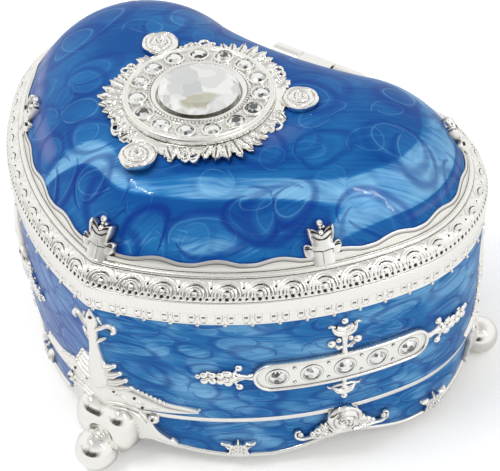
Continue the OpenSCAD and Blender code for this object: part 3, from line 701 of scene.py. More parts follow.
@dataclass
class MeshPart:
    """Points and faces that are being gathered into one piece, in millimetres."""

    points: list[np.ndarray] = field(default_factory=list)
    faces: list[tuple[int, ...]] = field(default_factory=list)
    # Painted shade of each point in the hollows, which the silver finish reads.
    hollow: list[np.ndarray] = field(default_factory=list)
    count: int = 0

    def add(self, points: np.ndarray, faces: Sequence[Sequence[int]],
            hollow: np.ndarray | None = None) -> MeshPart:
        """Adds points with their faces.

        Args:
            points: Rows of X, Y and Z.
            faces: Indices into those rows.
            hollow: How much painted shade each point gets, from 0 to 1.

        Returns:
            This part.
        """
        points = np.asarray(points, float)
        self.points.append(points)
        self.hollow.append(np.zeros(len(points)) if hollow is None else hollow)
        self.faces += [tuple(int(i) + self.count for i in f) for f in faces]
        self.count += len(points)
        return self

    def merge(self, other: MeshPart, move: Move | None = None, flip: bool = False) -> MeshPart:
        """Adds a copy of another part.

        Args:
            other: The part to copy.
            move: Maps its points to their place.
            flip: Whether the map mirrors, so that faces turn round.

        Returns:
            This part.
        """
        points = np.vstack(other.points)
        points = move(points) if move else points
        faces = [f[::-1] for f in other.faces] if flip else other.faces
        return self.add(points, faces, np.concatenate(other.hollow))

    def build(self, name: str, material: bpy.types.Material, crease: float = 35.0,
            brushed: Move | None = None) -> bpy.types.Object:
        """Turns the part into a smooth-shaded object at the origin.

        Args:
            name: Name of the piece.
            material: Its finish.
            crease: Edges sharper than this many degrees stay sharp.
            brushed: Unrolls the surface for a finish that follows it.

        Returns:
            The linked object.
        """
        mesh = bpy.data.meshes.new(name)
        mesh.from_pydata((np.vstack(self.points) * MM).tolist(), [], self.faces)
        # Painted shade for the hollows, read by the silver finish.
        dark = mesh.attributes.new("hollow", "FLOAT", "POINT")
        dark.data.foreach_set("value", np.concatenate(self.hollow).astype(np.float32))
        if brushed:
            unrolled = mesh.attributes.new("brushed", "FLOAT_VECTOR", "POINT")
            unrolled.data.foreach_set("vector",
                brushed(np.vstack(self.points)).astype(np.float32).ravel())
        work = bmesh.new()
        work.from_mesh(mesh)
        bmesh.ops.remove_doubles(work, verts=work.verts, dist=WELD)
        bmesh.ops.dissolve_degenerate(work, edges=work.edges, dist=WELD / 4)
        work.to_mesh(mesh)
        work.free()
        shade(mesh, crease)
        mesh.materials.append(material)
        return add_object(name, mesh)


def grid_faces(rows: int, columns: int, wrap: bool = False,
        closed: bool = False) -> list[tuple[int, ...]]:
    """Lists a grid's faces; rows may wrap into rings, and the last may join the first."""
    return [(j * columns + i, j * columns + (i + 1) % columns,
        (j + 1) % rows * columns + (i + 1) % columns, (j + 1) % rows * columns + i)
        for j in range(rows if closed else rows - 1) for i in range(columns
        if wrap else columns - 1)]


def tile_faces(up: int, across: int) -> list[tuple[int, ...]]:
    """Lists the faces of a tile: its grid of cells, closed to two rows of points behind it.

    Args:
        up: Cells across the band.
        across: Cells along the rim.

    Returns:
        Four indices for each face.
    """
    n = across + 1
    faces = grid_faces(up + 1, n)
    last, low, high = up * n, (up + 1) * n, (up + 2) * n
    for i in range(across):
        faces += [(a + i, a + i + 1, b + i + 1, b + i) for a, b in ((low, 0), (last, high),
            (high, low))]
    return faces


def sweep(outline: HeartOutline, levels: Rows, closed: bool = False,
        lift: np.ndarray | None = None) -> MeshPart:
    """Skins the heart's outline at a list of levels.

    Args:
        outline: The heart.
        levels: Inset, height and, where the level follows the scallops, a share of their lift.
            Levels that run upwards face outwards.
        closed: Whether the last level joins the first; otherwise both ends get a flat cap.
        lift: Lift of the scalloped edge at each outline point.

    Returns:
        A closed skin.
    """
    rings = []
    for inset, z, *share in levels:
        points, _ = outline.ring(inset)
        height = np.full(len(points), float(z))
        if share and lift is not None:
            height += share[0] * lift
        rings.append(np.column_stack([points, height]))
    n, m = len(rings[0]), len(rings)
    faces = grid_faces(m, n, True, closed)
    if not closed:
        faces += [tuple(range(n - 1, -1, -1)), tuple(range((m - 1) * n, m * n))]
    return MeshPart().add(np.vstack(rings), faces)


def filleted(corners: Rows, steps: int = 3) -> list[tuple[float, ...]]:
    """Rounds the corners of a profile.

    Args:
        corners: Inset, height, radius and share of the scallops' lift of each corner.
        steps: Facets in each rounding.

    Returns:
        Levels for a sweep.
    """
    levels: list[tuple[float, ...]] = []
    rows = [tuple(c) + (0,) * (4 - len(c)) for c in corners]
    for k, (x, z, radius, share) in enumerate(rows):
        if radius <= 0 or k in (0, len(rows) - 1):
            levels.append((x, z, share))
            continue
        here = np.array([x, z])
        back, ahead = (np.array(rows[j][:2]) - here for j in (k - 1, k + 1))
        reach = min(radius, np.linalg.norm(back) / 2.1, np.linalg.norm(ahead) / 2.1)
        a = here + back / np.linalg.norm(back) * reach
        c = here + ahead / np.linalg.norm(ahead) * reach
        for i in range(steps + 1):
            t = i / steps
            spot = (1 - t) ** 2 * a + 2 * t * (1 - t) * here + t ** 2 * c
            levels.append((spot[0], spot[1], share))
    return levels


def turned(profile: Rows, steps: int = 32) -> MeshPart:
    """Turns a profile about Z.

    Args:
        profile: Radius, height and, if wanted, painted shade from bottom to top, faces outwards.
        steps: Facets round the axis.

    Returns:
        A closed solid.
    """
    points, rows, dark = [], [], []
    for radius, z, *shade in profile:
        dark += [shade[0] if shade else 0.0] * (1 if radius <= 1e-6 else steps)
        if radius <= 1e-6:
            rows.append([len(points)] * steps)
            points.append((0, 0, z))
            continue
        rows.append(list(range(len(points), len(points) + steps)))
        points += [(radius * cos(FULL_TURN * i / steps), radius * sin(FULL_TURN * i / steps), z)
            for i in range(steps)]
    faces = []
    for low, high in zip(rows, rows[1:]):
        for i in range(steps):
            j = (i + 1) % steps
            face = [low[i], low[j], high[j], high[i]]
            faces.append(tuple(dict.fromkeys(face)))
    if profile[0][0] > 1e-6:
        faces.append(tuple(reversed(rows[0])))
    if profile[-1][0] > 1e-6:
        faces.append(tuple(rows[-1]))
    return MeshPart().add(np.array(points), faces, np.array(dark))


def box_block(low: Sequence[float], high: Sequence[float]) -> MeshPart:
    """Makes a plain block between two corners, as the root of a lug."""
    x, y, z = zip(low, high)
    points = [(x[i], y[j], z[k]) for i in (0, 1) for j in (0, 1) for k in (0, 1)]
    faces = [(0, 1, 3, 2), (4, 6, 7, 5), (0, 4, 5, 1), (2, 3, 7, 6), (0, 2, 6, 4), (1, 5, 7, 3)]
    return MeshPart().add(np.array(points), faces)


def island(top: np.ndarray, base: float, hollow: np.ndarray | None = None) -> MeshPart:
    """Closes a patch of relief down to a flat base.

    Args:
        top: Grid of points with rows along the first axis.
        base: Height of the base.
        hollow: How much painted shade each point of the patch takes.

    Returns:
        A closed solid.
    """
    m, n, _ = top.shape
    grid = np.arange(m * n).reshape(m, n)
    faces = grid_faces(m, n)
    edge = [*grid[0, :-1], *grid[:-1, -1], *grid[-1, :0:-1], *grid[:0:-1, 0]]
    points = top.reshape(-1, 3)
    foot = points[edge].copy()
    foot[:, 2] = base
    size = len(edge)
    low = [m * n + i for i in range(size)]
    faces += [(edge[(i + 1) % size], edge[i], low[i], low[(i + 1) % size]) for i in range(size)]
    faces.append(tuple(reversed(low)))
    # The patch takes the given painted shade; its sunk base takes full painted shade.
    shade = np.zeros(m * n) if hollow is None else np.asarray(hollow, float).reshape(-1)
    a, b, c = points[grid[0, 0]], points[grid[0, 1]], points[grid[1, 0]]
    if np.cross(b - a, c - a)[2] < 0:
        faces = [f[::-1] for f in faces]
    return MeshPart().add(np.vstack([points, foot]), faces, np.concatenate([shade, np.ones(size)]))


def spline(knots: Rows, steps: int = 5) -> np.ndarray:
    """Runs a smooth line through knots of any dimension.

    Args:
        knots: Points the line passes.
        steps: Points for each stretch between two knots.

    Returns:
        The line's points.
    """
    k = np.asarray(knots, float)
    k = np.vstack([2 * k[0] - k[1], k, 2 * k[-1] - k[-2]])
    rows = []
    for i in range(1, len(k) - 2):
        for s in range(steps):
            t = s / steps
            rows.append(0.5 * (2 * k[i] + (k[i + 1] - k[i - 1]) * t
                + (2 * k[i - 1] - 5 * k[i] + 4 * k[i + 1] - k[i + 2]) * t ** 2
                + (3 * k[i] - k[i - 1] - 3 * k[i + 1] + k[i + 2]) * t ** 3))
    return np.array([*rows, k[-2]])


# ---- relief in flat coordinates


class Relief(MeshPart):
    """Cast ornament in flat coordinates: X along, Y up and Z out of the ground."""

    SINK = -0.5
    FACETS = 6

    def draw(self, *rows: Sequence) -> None:
        """Adds strokes and bosses, each row the values of one; a stroke's begin with its knots."""
        for row in rows:
            (self.boss if isinstance(row[0], (int, float)) else self.stroke)(*row)

    def stroke(self, knots: Rows, height: float, ground: float = 0.0, steps: int = 4) -> None:
        """Adds a rounded stroke that swells and tapers.

        Args:
            knots: X, Y and width along the stroke.
            height: Height of the stroke for a width of one.
            ground: Height of the ground it lies on.
            steps: Points between two knots.
        """
        line = spline(knots, steps)
        line[:, 2] = np.maximum(line[:, 2], 0.05)
        way = np.gradient(line[:, :2], axis=0)
        way /= np.maximum(np.linalg.norm(way, axis=1), 1e-9)[:, None]
        turn = np.linspace(0, pi, self.FACETS + 1)
        top = np.zeros((len(line), len(turn), 3))
        for i, (x, y, width) in enumerate(line):
            offset = np.cos(turn) * width / 2
            top[i, :, 0] = x + way[i, 1] * offset
            top[i, :, 1] = y - way[i, 0] * offset
            top[i, :, 2] = ground + np.sin(turn) ** 0.8 * height * min(width, 1.2)
        self.merge(island(top, self.SINK))

    def boss(self, x: float, y: float, radius: float, height: float, ground: float = 0.0,
            sides: int = 14) -> None:
        """Adds a round boss that is fuller than half a ball.

        Args:
            x: Place along.
            y: Place up.
            radius: Radius of the boss.
            height: Height above the ground.
            ground: Height of the ground.
            sides: Facets round it.
        """
        profile = [(radius * 0.8, self.SINK), (radius * 0.92, ground)]
        profile += [(radius * cos(radians(a)), ground + height * (0.2 + 0.8 * sin(radians(a))))
            for a in (0, 25, 48, 68)] + [(0, ground + height)]
        self.merge(turned(profile, sides), lambda p: p + [x, y, 0])

    def leaf(self, x: float, y: float, turn: float, length: float, width: float, height: float,
            lobes: int = 3) -> None:
        """Adds a pointed leaf with a sunk midrib and a lobed edge.

        Args:
            x: Place of the stalk along.
            y: Place of the stalk up.
            turn: Direction in degrees from +X.
            length: Length of the leaf.
            width: Its greatest width.
            height: Its height.
            lobes: Lobes on each edge.
        """
        u = np.linspace(0, 1, 6 * lobes + 1)
        v = np.linspace(-1, 1, 9)
        form = np.sin(np.pi * np.clip(u, 0.02, 0.985) ** 0.75) ** 0.75
        form = form * (1 - 0.16 * np.cos(2 * np.pi * lobes * u + 0.6)) * width / 2
        top = np.zeros((len(u), len(v), 3))
        dark = np.zeros((len(u), len(v)))
        angle = radians(turn)
        along = np.array([cos(angle), sin(angle)])
        side = np.array([-along[1], along[0]])
        for i, ui in enumerate(u):
            top[i, :, :2] = np.array([x, y]) + along * ui * length + np.outer(v * form[i], side)
            rib = np.exp(-(v / 0.16) ** 2)
            vein = 0.5 + 0.5 * np.cos(2 * np.pi * (lobes * 2 * ui - np.abs(v) * 0.8))
            swell = 0.35 + 0.65 * sin(pi * min(ui * 0.85 + 0.1, 1))
            top[i, :, 2] = height * swell * (1 - 0.75 * v ** 2) * (1 - 0.45 * rib
                - 0.16 * vein * (1 - rib))
            # Painted shade in the sunk midrib.
            dark[i] = 0.55 * rib
        self.merge(island(top, self.SINK, dark))

    def rose(self, x: float, y: float, radius: float, height: float, turn: float = 0.0) -> None:
        """Adds an open rose whose petals wind in to a bud.

        Args:
            x: Place along.
            y: Place up.
            radius: Radius of the outer petals.
            height: Height of the bud.
            turn: Turn of the flower in degrees.
        """
        rings = [(radius * t, 0) for t in np.linspace(1, 0.05, 22)]
        part = turned([(radius * 0.85, self.SINK, 1), (radius * 0.98, 0, 0.3), *rings, (0, 0)], 44)
        p, dark = part.points[0], part.hollow[0]
        out = np.hypot(p[:, 0], p[:, 1]) / radius
        way = np.arctan2(p[:, 1], p[:, 0]) + radians(turn)
        fold = (3.3 * out + way / FULL_TURN + 0.3 * np.abs(np.sin(1.5 * way + 5 * out))) % 1.0
        top = np.arange(len(p)) >= 88
        p[top, 2] = height * (0.4 + 0.38 * (1 - out[top] ** 2)
            + 0.24 * np.sin(np.pi * np.minimum(fold[top] * 1.25, 1)) ** 0.6)
        # Painted shade in the folds between the petals.
        dark[top & (fold > 0.84)] = 0.45
        p[:, :2] *= (1 + 0.06 * np.abs(np.sin(2.5 * way)))[:, None]
        self.merge(part, lambda q: q + [x, y, 0])

    def scroll(self, x: float, y: float, radius: float, turn: float, sweep_by: float, width: float,
            height: float) -> None:
        """Adds a C-scroll that winds in to a ball.

        Args:
            x: Centre along.
            y: Centre up.
            radius: Outer radius of the scroll.
            turn: Angle at which it starts, in degrees.
            sweep_by: Angle it turns through; negative winds clockwise.
            width: Width of the stroke.
            height: Height of the stroke for a width of one.
        """
        knots = []
        for i in range(7):
            t = i / 6
            angle = radians(turn + sweep_by * t)
            r = radius * (1 - 0.62 * t ** 1.4)
            knots.append((x + r * cos(angle), y + r * sin(angle),
                width * (0.45 + 0.75 * sin(pi * (0.15 + 0.7 * t)))))
        self.stroke(knots, height, steps=3)
        self.boss(knots[-1][0], knots[-1][1], width * 0.72, height * width * 1.1)


# ---- rows of cast pattern


class TileRow:
    """Lays a cast pattern's tile along the heart with one Geometry Nodes tree."""

    CREASE = 40.0

    def __init__(self, outline: HeartOutline, span: float) -> None:
        """Makes the path and the tree.

        Args:
            outline: The heart.
            span: Inset at which the outline's own narrowing is measured.
        """
        self.outline = outline
        near, _ = outline.ring(0.0)
        far, _ = outline.ring(span)
        outward = np.column_stack([near - far, np.zeros(len(near))]) / span
        near = np.column_stack([near, np.zeros(len(near))]) * MM
        mesh = bpy.data.meshes.new("rim_path")
        n = len(near)
        mesh.from_pydata(np.vstack([near, near[:1]]).tolist(), [(i, i + 1) for i in range(n)], [])
        row = mesh.attributes.new("outward", "FLOAT_VECTOR", "POINT")
        row.data.foreach_set("vector", np.vstack([outward, outward[:1]]).astype(np.float32).ravel())
        self.path = bpy.data.objects.new("rim_path", mesh)
        self.tree = self._tree()

    def _tree(self) -> bpy.types.NodeTree:
        """Builds the tree with named inputs for the tile, its path and its pitch."""
        tree = bpy.data.node_groups.new("tiles_along_rim", "GeometryNodeTree")
        face = tree.interface
        for name, kind in (("Tile", "NodeSocketObject"), ("Path", "NodeSocketObject"),
                ("Count", "NodeSocketInt"), ("Pitch", "NodeSocketFloat"),
                ("Start", "NodeSocketFloat"), ("Length", "NodeSocketFloat"),
                ("Finish", "NodeSocketMaterial")):
            face.new_socket(name, in_out="INPUT", socket_type=kind)
        face.new_socket("Row", in_out="OUTPUT", socket_type="NodeSocketGeometry")
        add = partial(add_node, tree)
        given = add("NodeGroupInput").outputs
        step = add("CombineXYZ", {"X": given["Pitch"]})
        first = add("CombineXYZ", {"X": given["Start"]})
        line = add("GeometryNodeMeshLine", {"Count": given["Count"], "Start Location": first,
            "Offset": step})
        tile = add("GeometryNodeObjectInfo", given["Tile"], True)
        placed = add("GeometryNodeInstanceOnPoints",
            {"Points": line, "Instance": tile.outputs["Geometry"]})
        solid = add("GeometryNodeRealizeInstances", placed)
        path = add("GeometryNodeObjectInfo", given["Path"])
        curve = add("GeometryNodeMeshToCurve", {"Mesh": path.outputs["Geometry"]})
        spot = add("SeparateXYZ", add("GeometryNodeInputPosition"))
        along = add("Math", spot.outputs["X"], given["Length"], 0.0, operation="WRAP")
        outward = add("GeometryNodeInputNamedAttribute", {"Name": "outward"},
            data_type="FLOAT_VECTOR")
        found = add("GeometryNodeSampleCurve",
            {"Curves": curve, "Value": outward, "Length": along}, mode="LENGTH",
            data_type="FLOAT_VECTOR")
        reach = add("VectorMath", {0: found.outputs["Value"], "Scale": spot.outputs["Y"]},
            operation="SCALE")
        rise = add("CombineXYZ", {"Z": spot.outputs["Z"]})
        flat = add("VectorMath", found.outputs["Position"], reach, operation="ADD")
        place = add("VectorMath", flat, rise, operation="ADD")
        bent = add("GeometryNodeSetPosition", {"Geometry": solid, "Position": place})
        welded = add("GeometryNodeMergeByDistance", {"Geometry": bent, "Distance": 0.004 * MM})
        last = add("GeometryNodeRealizeInstances", welded)
        done = add("GeometryNodeSetMaterial", {"Geometry": last, "Material": given["Finish"]})
        add("NodeGroupOutput", done)
        return tree

    def lay(self, name: str, tile: MeshPart, count: int, material: bpy.types.Material,
            shift: float = 0.0) -> bpy.types.Object:
        """Lays a tile round the whole rim.

        Args:
            name: Name of the piece.
            tile: Tile whose X runs along, Y outwards from the rim and Z up.
            count: Tiles round the rim.
            material: Finish of the row.
            shift: Shift along the rim in tiles.

        Returns:
            The finished piece.
        """
        length = self.outline.length() * MM
        source = tile.build(f"{name}_tile", material, self.CREASE)
        holder = add_object(f"{name}_row", bpy.data.meshes.new(f"{name}_row"))
        modifier = holder.modifiers.new("tiles", "NODES")
        modifier.node_group = self.tree
        values = {"Tile": source, "Path": self.path, "Count": count, "Pitch": length / count,
            "Start": length / count * shift, "Length": length, "Finish": material}
        for item in self.tree.interface.items_tree:
            if item.in_out == "INPUT":
                modifier[item.identifier] = values[item.name]
        mesh = settled(holder)
        shade(mesh, self.CREASE)
        piece = add_object(name, mesh)
        for extra in (source, holder):
            bpy.data.objects.remove(extra, do_unlink=True)
        return piece


# ---- sub-assemblies


@dataclass
class SubAssembly:
    """What every sub-assembly of the box needs: the heart, the finishes and its pieces."""

    outline: HeartOutline
    finishes: Finishes

    def keep(self, piece: bpy.types.Object, body: str, slot: Slot,
            *replaced: str) -> bpy.types.Object:
        """Rides a piece on a body and hides the nodes it stands for.

        Args:
            piece: The finished piece.
            body: Body it moves with.
            slot: Not used.
            *replaced: CAD nodes that it replaces.

        Returns:
            The piece.
        """
        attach(piece, body)
        if replaced:
            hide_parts(*replaced)
        LOG.info("%s: %d faces on %s", piece.name, len(piece.data.polygons), body)
        return piece


@dataclass
class BodyCasting(SubAssembly):
    """The body: plain rim band, dentils, enamelled wall, divider bead and scalloped skirt."""

    body_top: float = 48.075
    band_z: float = 45.075
    dentil_z: float = 42.275
    wall_z: float = 15.4
    divider_z: float = 13.8
    floor_z: float = 8.0
    floor_top: float = 10.5
    apron_low: float = 2.7
    rose_arch: tuple[float, float] = (3.5, 15.0)
    leg_arch: tuple[float, float] = (4.4, 27.0)
    plaque_turn: float = 39.4
    rear_leg_turn: float = 33.5
    dentil_pitch: float = 5.08
    dentil_shift: float = 0.21
    dentil_spread: float = 1.12
    bead_radius: float = 0.4

    def lift(self) -> np.ndarray:
        """Gives the lift of the scalloped edge at each outline point."""
        _, run, total = self.outline.run()
        rise = np.zeros(len(run))
        plaque = self.outline.along(self.plaque_turn, Side.RIGHT)
        leg = self.outline.along(self.rear_leg_turn, Side.RIGHT, lobe=True)
        arches = [(plaque, *self.rose_arch), (-plaque, *self.rose_arch), (0, *self.leg_arch),
            (leg, *self.leg_arch), (-leg, *self.leg_arch), (total / 2, *self.leg_arch)]
        for at, high, half in arches:
            away = np.abs((run - at + total / 2) % total - total / 2) / half
            smooth = high * (1 + np.cos(np.pi * np.minimum(away, 1))) / 2
            tent = high * np.maximum(1 - away, 0)
            rise = np.maximum(rise, 0.55 * smooth + 0.45 * tent)
        return rise

    def casting(self) -> MeshPart:
        """Skins the body casting, with its knuckles and the lid's stop."""
        low = self.apron_low
        profile = [(3.8, self.floor_z, 0), (3.8, low, 0.3, 1), (1.05, low, 0.5, 1),
            (1.05, low + 1.1, 0.35, 1), (2, low + 1.25, 0, 1), (2, self.divider_z + 0.1, 0),
            (0.75, self.divider_z, 0.75), (0.65, self.wall_z, 0.75), (1.3, self.wall_z + 0.1, 0),
            (1.3, self.dentil_z + 0.1, 0), (0.95, self.dentil_z + 0.2, 0), (0.95, self.band_z, 0),
            (0, self.band_z, 0.3), (0, self.body_top, 0.3), (2.9, self.body_top, 0.15),
            (2.9, self.body_top + 1.8, 0.3), (4.4, self.body_top + 1.8, 0.3),
            (4.4, self.floor_top, 0)]
        part = sweep(self.outline, filleted(profile, 4), lift=self.lift())
        hinge_y = self.outline.hinge_y
        root = hinge_y - 4.9
        for side in Side:
            low_x, high_x = sorted((side.value * 4.2, side.value * 11))
            part.merge(box_block((low_x, root, self.band_z - 0.6),
                (high_x, hinge_y, self.body_top)))
            part.merge(knuckle(low_x, high_x, hinge_y))
        part.merge(box_block((-3.6, root, self.dentil_z), (3.6, hinge_y - 2.9, self.band_z + 0.2)))
        return part

    def dentil_tile(self) -> MeshPart:
        """Makes one drop bead between its two U-shaped dentils, on a plain strip."""
        pitch = self.outline.length() / round(self.outline.length() / self.dentil_pitch)
        across, up = 40, 15
        low, high = self.dentil_z, self.band_z + 0.02
        points, dark = [], []
        for j in range(up + 1):
            z = low + (high - low) * j / up
            for i in range(across + 1):
                x = pitch * (i / across - 0.5)
                tab = hypot(abs(x) - self.dentil_spread, max(0, low + 1.15 - z) * 0.95) / 0.66
                proud = 0.2 * max(0.0, 1 - tab ** 6) if z > low + 0.42 else 0.0
                slit = hypot((abs(x) - self.dentil_spread) / 0.36, (z - low - 1.75) / 0.24)
                stem = max(0.0, 1 - (x / 0.34) ** 4) * 0.16 * (z < low + 1.9)
                lip = 0.14 if z < low + 0.3 else 0.0
                # Painted shade in the slots and along the dentils' edges.
                shade = 1.0 if slit < 1 else 0.0
                points.append((x, -0.42 + max(proud, stem, lip) - 0.3 * (slit < 1), z))
                dark.append(max(shade, 0.28 * (0.9 < tab < 1.12 and z > low + 0.42)))
        # The tile's hidden back takes painted shade.
        for z in (low, high):
            points += [(pitch * (i / across - 0.5), -1, z) for i in range(across + 1)]
            dark += [0.8] * (across + 1)
        tile = MeshPart().add(np.array(points), tile_faces(up, across), np.array(dark))
        r = self.bead_radius
        ball = turned([(0, -r), (r * 0.7, -r * 0.7), (r, 0), (r * 0.7, r * 0.7), (0, r)], 10)
        return tile.merge(ball, lambda p: p * [-1, 1, 1] + [0, -0.22, low - 0.06])

    def build(self, rows: TileRow) -> None:
        """Builds and dresses the body's pieces.

        Args:
            rows: Lays cast patterns along the rim.
        """
        plate, enamel = self.finishes.plate, self.finishes.enamel
        self.keep(self.casting().build("body_casting", plate), "body", Slot.PLATE, "body_shell")
        count = round(self.outline.length() / self.dentil_pitch)
        self.keep(rows.lay("dentil_band", self.dentil_tile(), count, plate, self.dentil_shift),
            "body", Slot.PLATE)
        wall = filleted([(1.25, self.wall_z + 0.05, 0), (0.5, self.wall_z + 0.05, 0.25),
            (0.5, self.dentil_z + 0.05, 0.25), (1.25, self.dentil_z + 0.05, 0)])
        unroll = self.outline.unroll_wall
        self.keep(sweep(self.outline, wall, closed=True).build("wall_enamel_coat", enamel,
            brushed=unroll), "body", Slot.ENAMEL, "wall_enamel")
        low = self.apron_low + 0.95
        apron = filleted([(1.95, low, 0, 1), (1.5, low, 0.1, 1), (1.5, self.divider_z, 0.1),
            (1.95, self.divider_z, 0)])
        self.keep(sweep(self.outline, apron, closed=True,
            lift=self.lift()).build("skirt_enamel_coat", enamel, brushed=unroll), "body",
            Slot.ENAMEL, "apron_enamel")


def knuckle(low: float, high: float, y: float) -> MeshPart:
    """Makes one hinge barrel along X, with softened ends.

    Args:
        low: Lower X.
        high: Upper X.
        y: Place of the hinge's axis.

    Returns:
        The closed barrel.
    """
    edge, soft = KNUCKLE_RADIUS, 0.2
    bar = turned([(0, low), (edge - soft, low), (edge, low + soft), (edge, high - soft),
        (edge - soft, high), (0, high)], 36)
    return MeshPart().merge(bar, lambda p: np.column_stack([p[:, 2], p[:, 0] + y,
        p[:, 1] + HINGE_Z]))


@dataclass
class Lid(SubAssembly):
    """The lid: scale-patterned ovolo, fine round step, wavy silver edge and enamelled dome."""

    lid_z: float = 48.325
    ovolo_width: float = 2.9
    ovolo_height: float = 3.3
    arc_from: float = 15.0
    arc_to: float = 75.0
    step_radius: float = 0.6
    dome_inset: float = 4.9
    dome_z: float = 53.525
    dome_rise: float = 13.4
    dome_run: float = 30.0
    dome_power: float = 3.7
    dome_reach: float = 21.1
    dome_steps: int = 34
    scale_count: int = 49
    wave_count: int = 24
    wave_depth: float = 0.24
    relief: float = 0.24

    def height(self, inset: float) -> float:
        """Gives the height of the enamelled dome at an inset."""
        share = min(max((inset - self.dome_inset) / self.dome_run, 0), 1.0)
        return self.dome_z + self.dome_rise * (1 - (1 - share) ** self.dome_power)

    def ovolo(self, share: float, proud: float) -> tuple[float, float]:
        """Gives the outward reach and height of a place on the ovolo.

        Args:
            share: Place from its lower edge, 0, to its upper edge, 1.
            proud: Height over the plain moulding.

        Returns:
            Reach outwards from the rim, which is negative inside it, and height.
        """
        low, high = radians(self.arc_from), radians(self.arc_to)
        a = low + (high - low) * share
        inset = self.ovolo_width * (cos(low) - cos(a)) / (cos(low) - cos(high))
        rise = self.ovolo_height * (sin(a) - sin(low)) / (sin(high) - sin(low))
        out = np.array([cos(a), sin(a)])
        return -inset + proud * out[0], self.lid_z + rise + proud * out[1]

    def casting(self) -> MeshPart:
        """Skins the lid casting, with its knuckle and toe."""
        under = [(26.6, 64, 0), (23.1, 63.3, 0), (19.8, 62.2, 0), (16.7, 60.6, 0),
            (13.86, 58.4, 0), (11.35, 55.8, 0), (9.25, 53, 0), (7.9, 50.9, 0)]
        foot = [(5.6, 50.125, 0.3), (2.6, 50.125, 0.2), (2.6, self.lid_z, 0.1),
            (0.35, self.lid_z, 0.15)]
        rim = [(-self.ovolo(t, -0.38)[0], self.ovolo(t, -0.38)[1], 0)
            for t in np.linspace(0.02, 0.98, 6)]
        top = self.lid_z + self.ovolo_height
        r, x = self.step_radius, self.ovolo_width + 0.1
        torus = [(x + r - r * cos(radians(a)), top + r * sin(radians(a)), 0)
            for a in range(-20, 141, 20)]
        slope = [(x + 2 * r, top + 0.45, 0.2), (4.85, self.dome_z - 0.12, 0.1),
            (5.6, self.dome_z - 0.4, 0)]
        crown = [self.dome_inset + self.dome_reach * t ** 1.35 + 0.5
            for t in np.linspace(0.1, 1, 9)]
        crown = [(d, self.height(d - 0.5) - 0.4, 0) for d in crown]
        part = sweep(self.outline, filleted([*under, *foot, *rim, *torus, *slope, *crown]))
        hinge_y, root = self.outline.hinge_y, self.outline.hinge_y - 3.1
        part.merge(knuckle(-3.9, 3.9, hinge_y))
        part.merge(box_block((-3.9, root, self.lid_z), (3.9, hinge_y, 50.4)))
        return part.merge(box_block((-3.6, hinge_y, 46), (3.6, hinge_y + 3.2, 47.5)))

    def scale(self, x: float, y: float, pitch: float, width: float) -> tuple[float, float]:
        """Gives the relief of one scale: nested arcs round a boss, with flowers between.

        Args:
            x: Place along the rim from the scale's middle, in millimetres.
            y: Place up the ovolo from its lower edge.
            pitch: Distance between scales.
            width: Length of the ovolo's section.

        Returns:
            Height, and how much painted shade the place takes in the pattern's grooves and pits.
        """
        foot = 1.32
        high, dark = 0.4, 0.0
        away = hypot(x, y - foot)
        slant = abs(atan2(x, y - foot))
        if y >= 1.0:
            for radius, half in ((2.88, 0.28), (2.34, 0.27), (1.56, 0.26), (1.04, 0.2)):
                near = abs(away - radius) / half
                if near < 1.2:
                    high = max(high, max(0, 1 - near ** 2) ** 0.5)
                    dark = 0.0
            for radius, half, reach in ((1.93, 0.12, 0.9), (0.76, 0.1, 0.9)):
                if abs(away - radius) < half * (1.25 - slant / reach) and slant < reach:
                    high, dark = 0.0, 1.0
            if away > 3.14:
                high, dark = 0.5, 0.0
        core = max(0.0, 1 - (away / 0.5) ** 2) ** 0.5
        if core > 0.05:
            high, dark = max(high, core), 0.0
        dx, dy = pitch / 2 - abs(x), y - 3.62
        petals, turn = hypot(dx, dy), atan2(dy, dx)
        rim = 0.74 * (0.78 + 0.22 * cos(5 * (turn - pi / 2)))
        if petals < rim:
            high = max(high, 0.95 * (1 - 0.3 * (petals / rim) ** 2))
            dark = 0.35 if petals < 0.12 else 0.0
        if hypot(dx / 0.9, dy + 0.95) < 0.24:
            high, dark = 0.0, 1.0
        if y < 1.0:
            share = (x / pitch * 5 + 0.5) % 1 - 0.5
            big = 1.3 if abs(x) < pitch / 10 else 1.0
            pit = hypot(share * pitch / 5 / (0.27 * big), (y - 0.56) / (0.3 * big))
            high, dark = (0.1, 1.0) if pit < 1 else (0.72, 0.0)
        if y > width - 0.16:
            high, dark = 0.3, 0.1
        return high, dark

    def scale_tile(self) -> MeshPart:
        """Makes one scale of the ovolo as a closed tile section."""
        pitch = self.outline.length() / self.scale_count
        width = 4.5
        across, up = 44, 34
        points, dark = [], []
        for j in range(up + 1):
            for i in range(across + 1):
                x, t = pitch * (i / across - 0.5), j / up
                high, shade = self.scale(x, t * width, pitch, width)
                reach, z = self.ovolo(t, self.relief * (high - 1))
                points.append((x, reach, z))
                dark.append(shade)
        # The tile's hidden back takes full painted shade.
        for j in (0, up):
            for i in range(across + 1):
                reach, z = self.ovolo(j / up, -0.75)
                points.append((pitch * (i / across - 0.5), reach, z))
                dark.append(1.0)
        return MeshPart().add(np.array(points), tile_faces(up, across), np.array(dark))

    def wave_tile(self) -> MeshPart:
        """Makes one scallop of the plain slope and the bright wire that borders the enamel."""
        pitch = self.outline.length() / self.wave_count
        steps = 24
        rows = []
        for i in range(steps + 1):
            x = pitch * (i / steps - 0.5)
            edge = 5.05 - self.wave_depth * cos(FULL_TURN * x / pitch)
            top = self.height(edge) if edge > self.dome_inset else self.dome_z
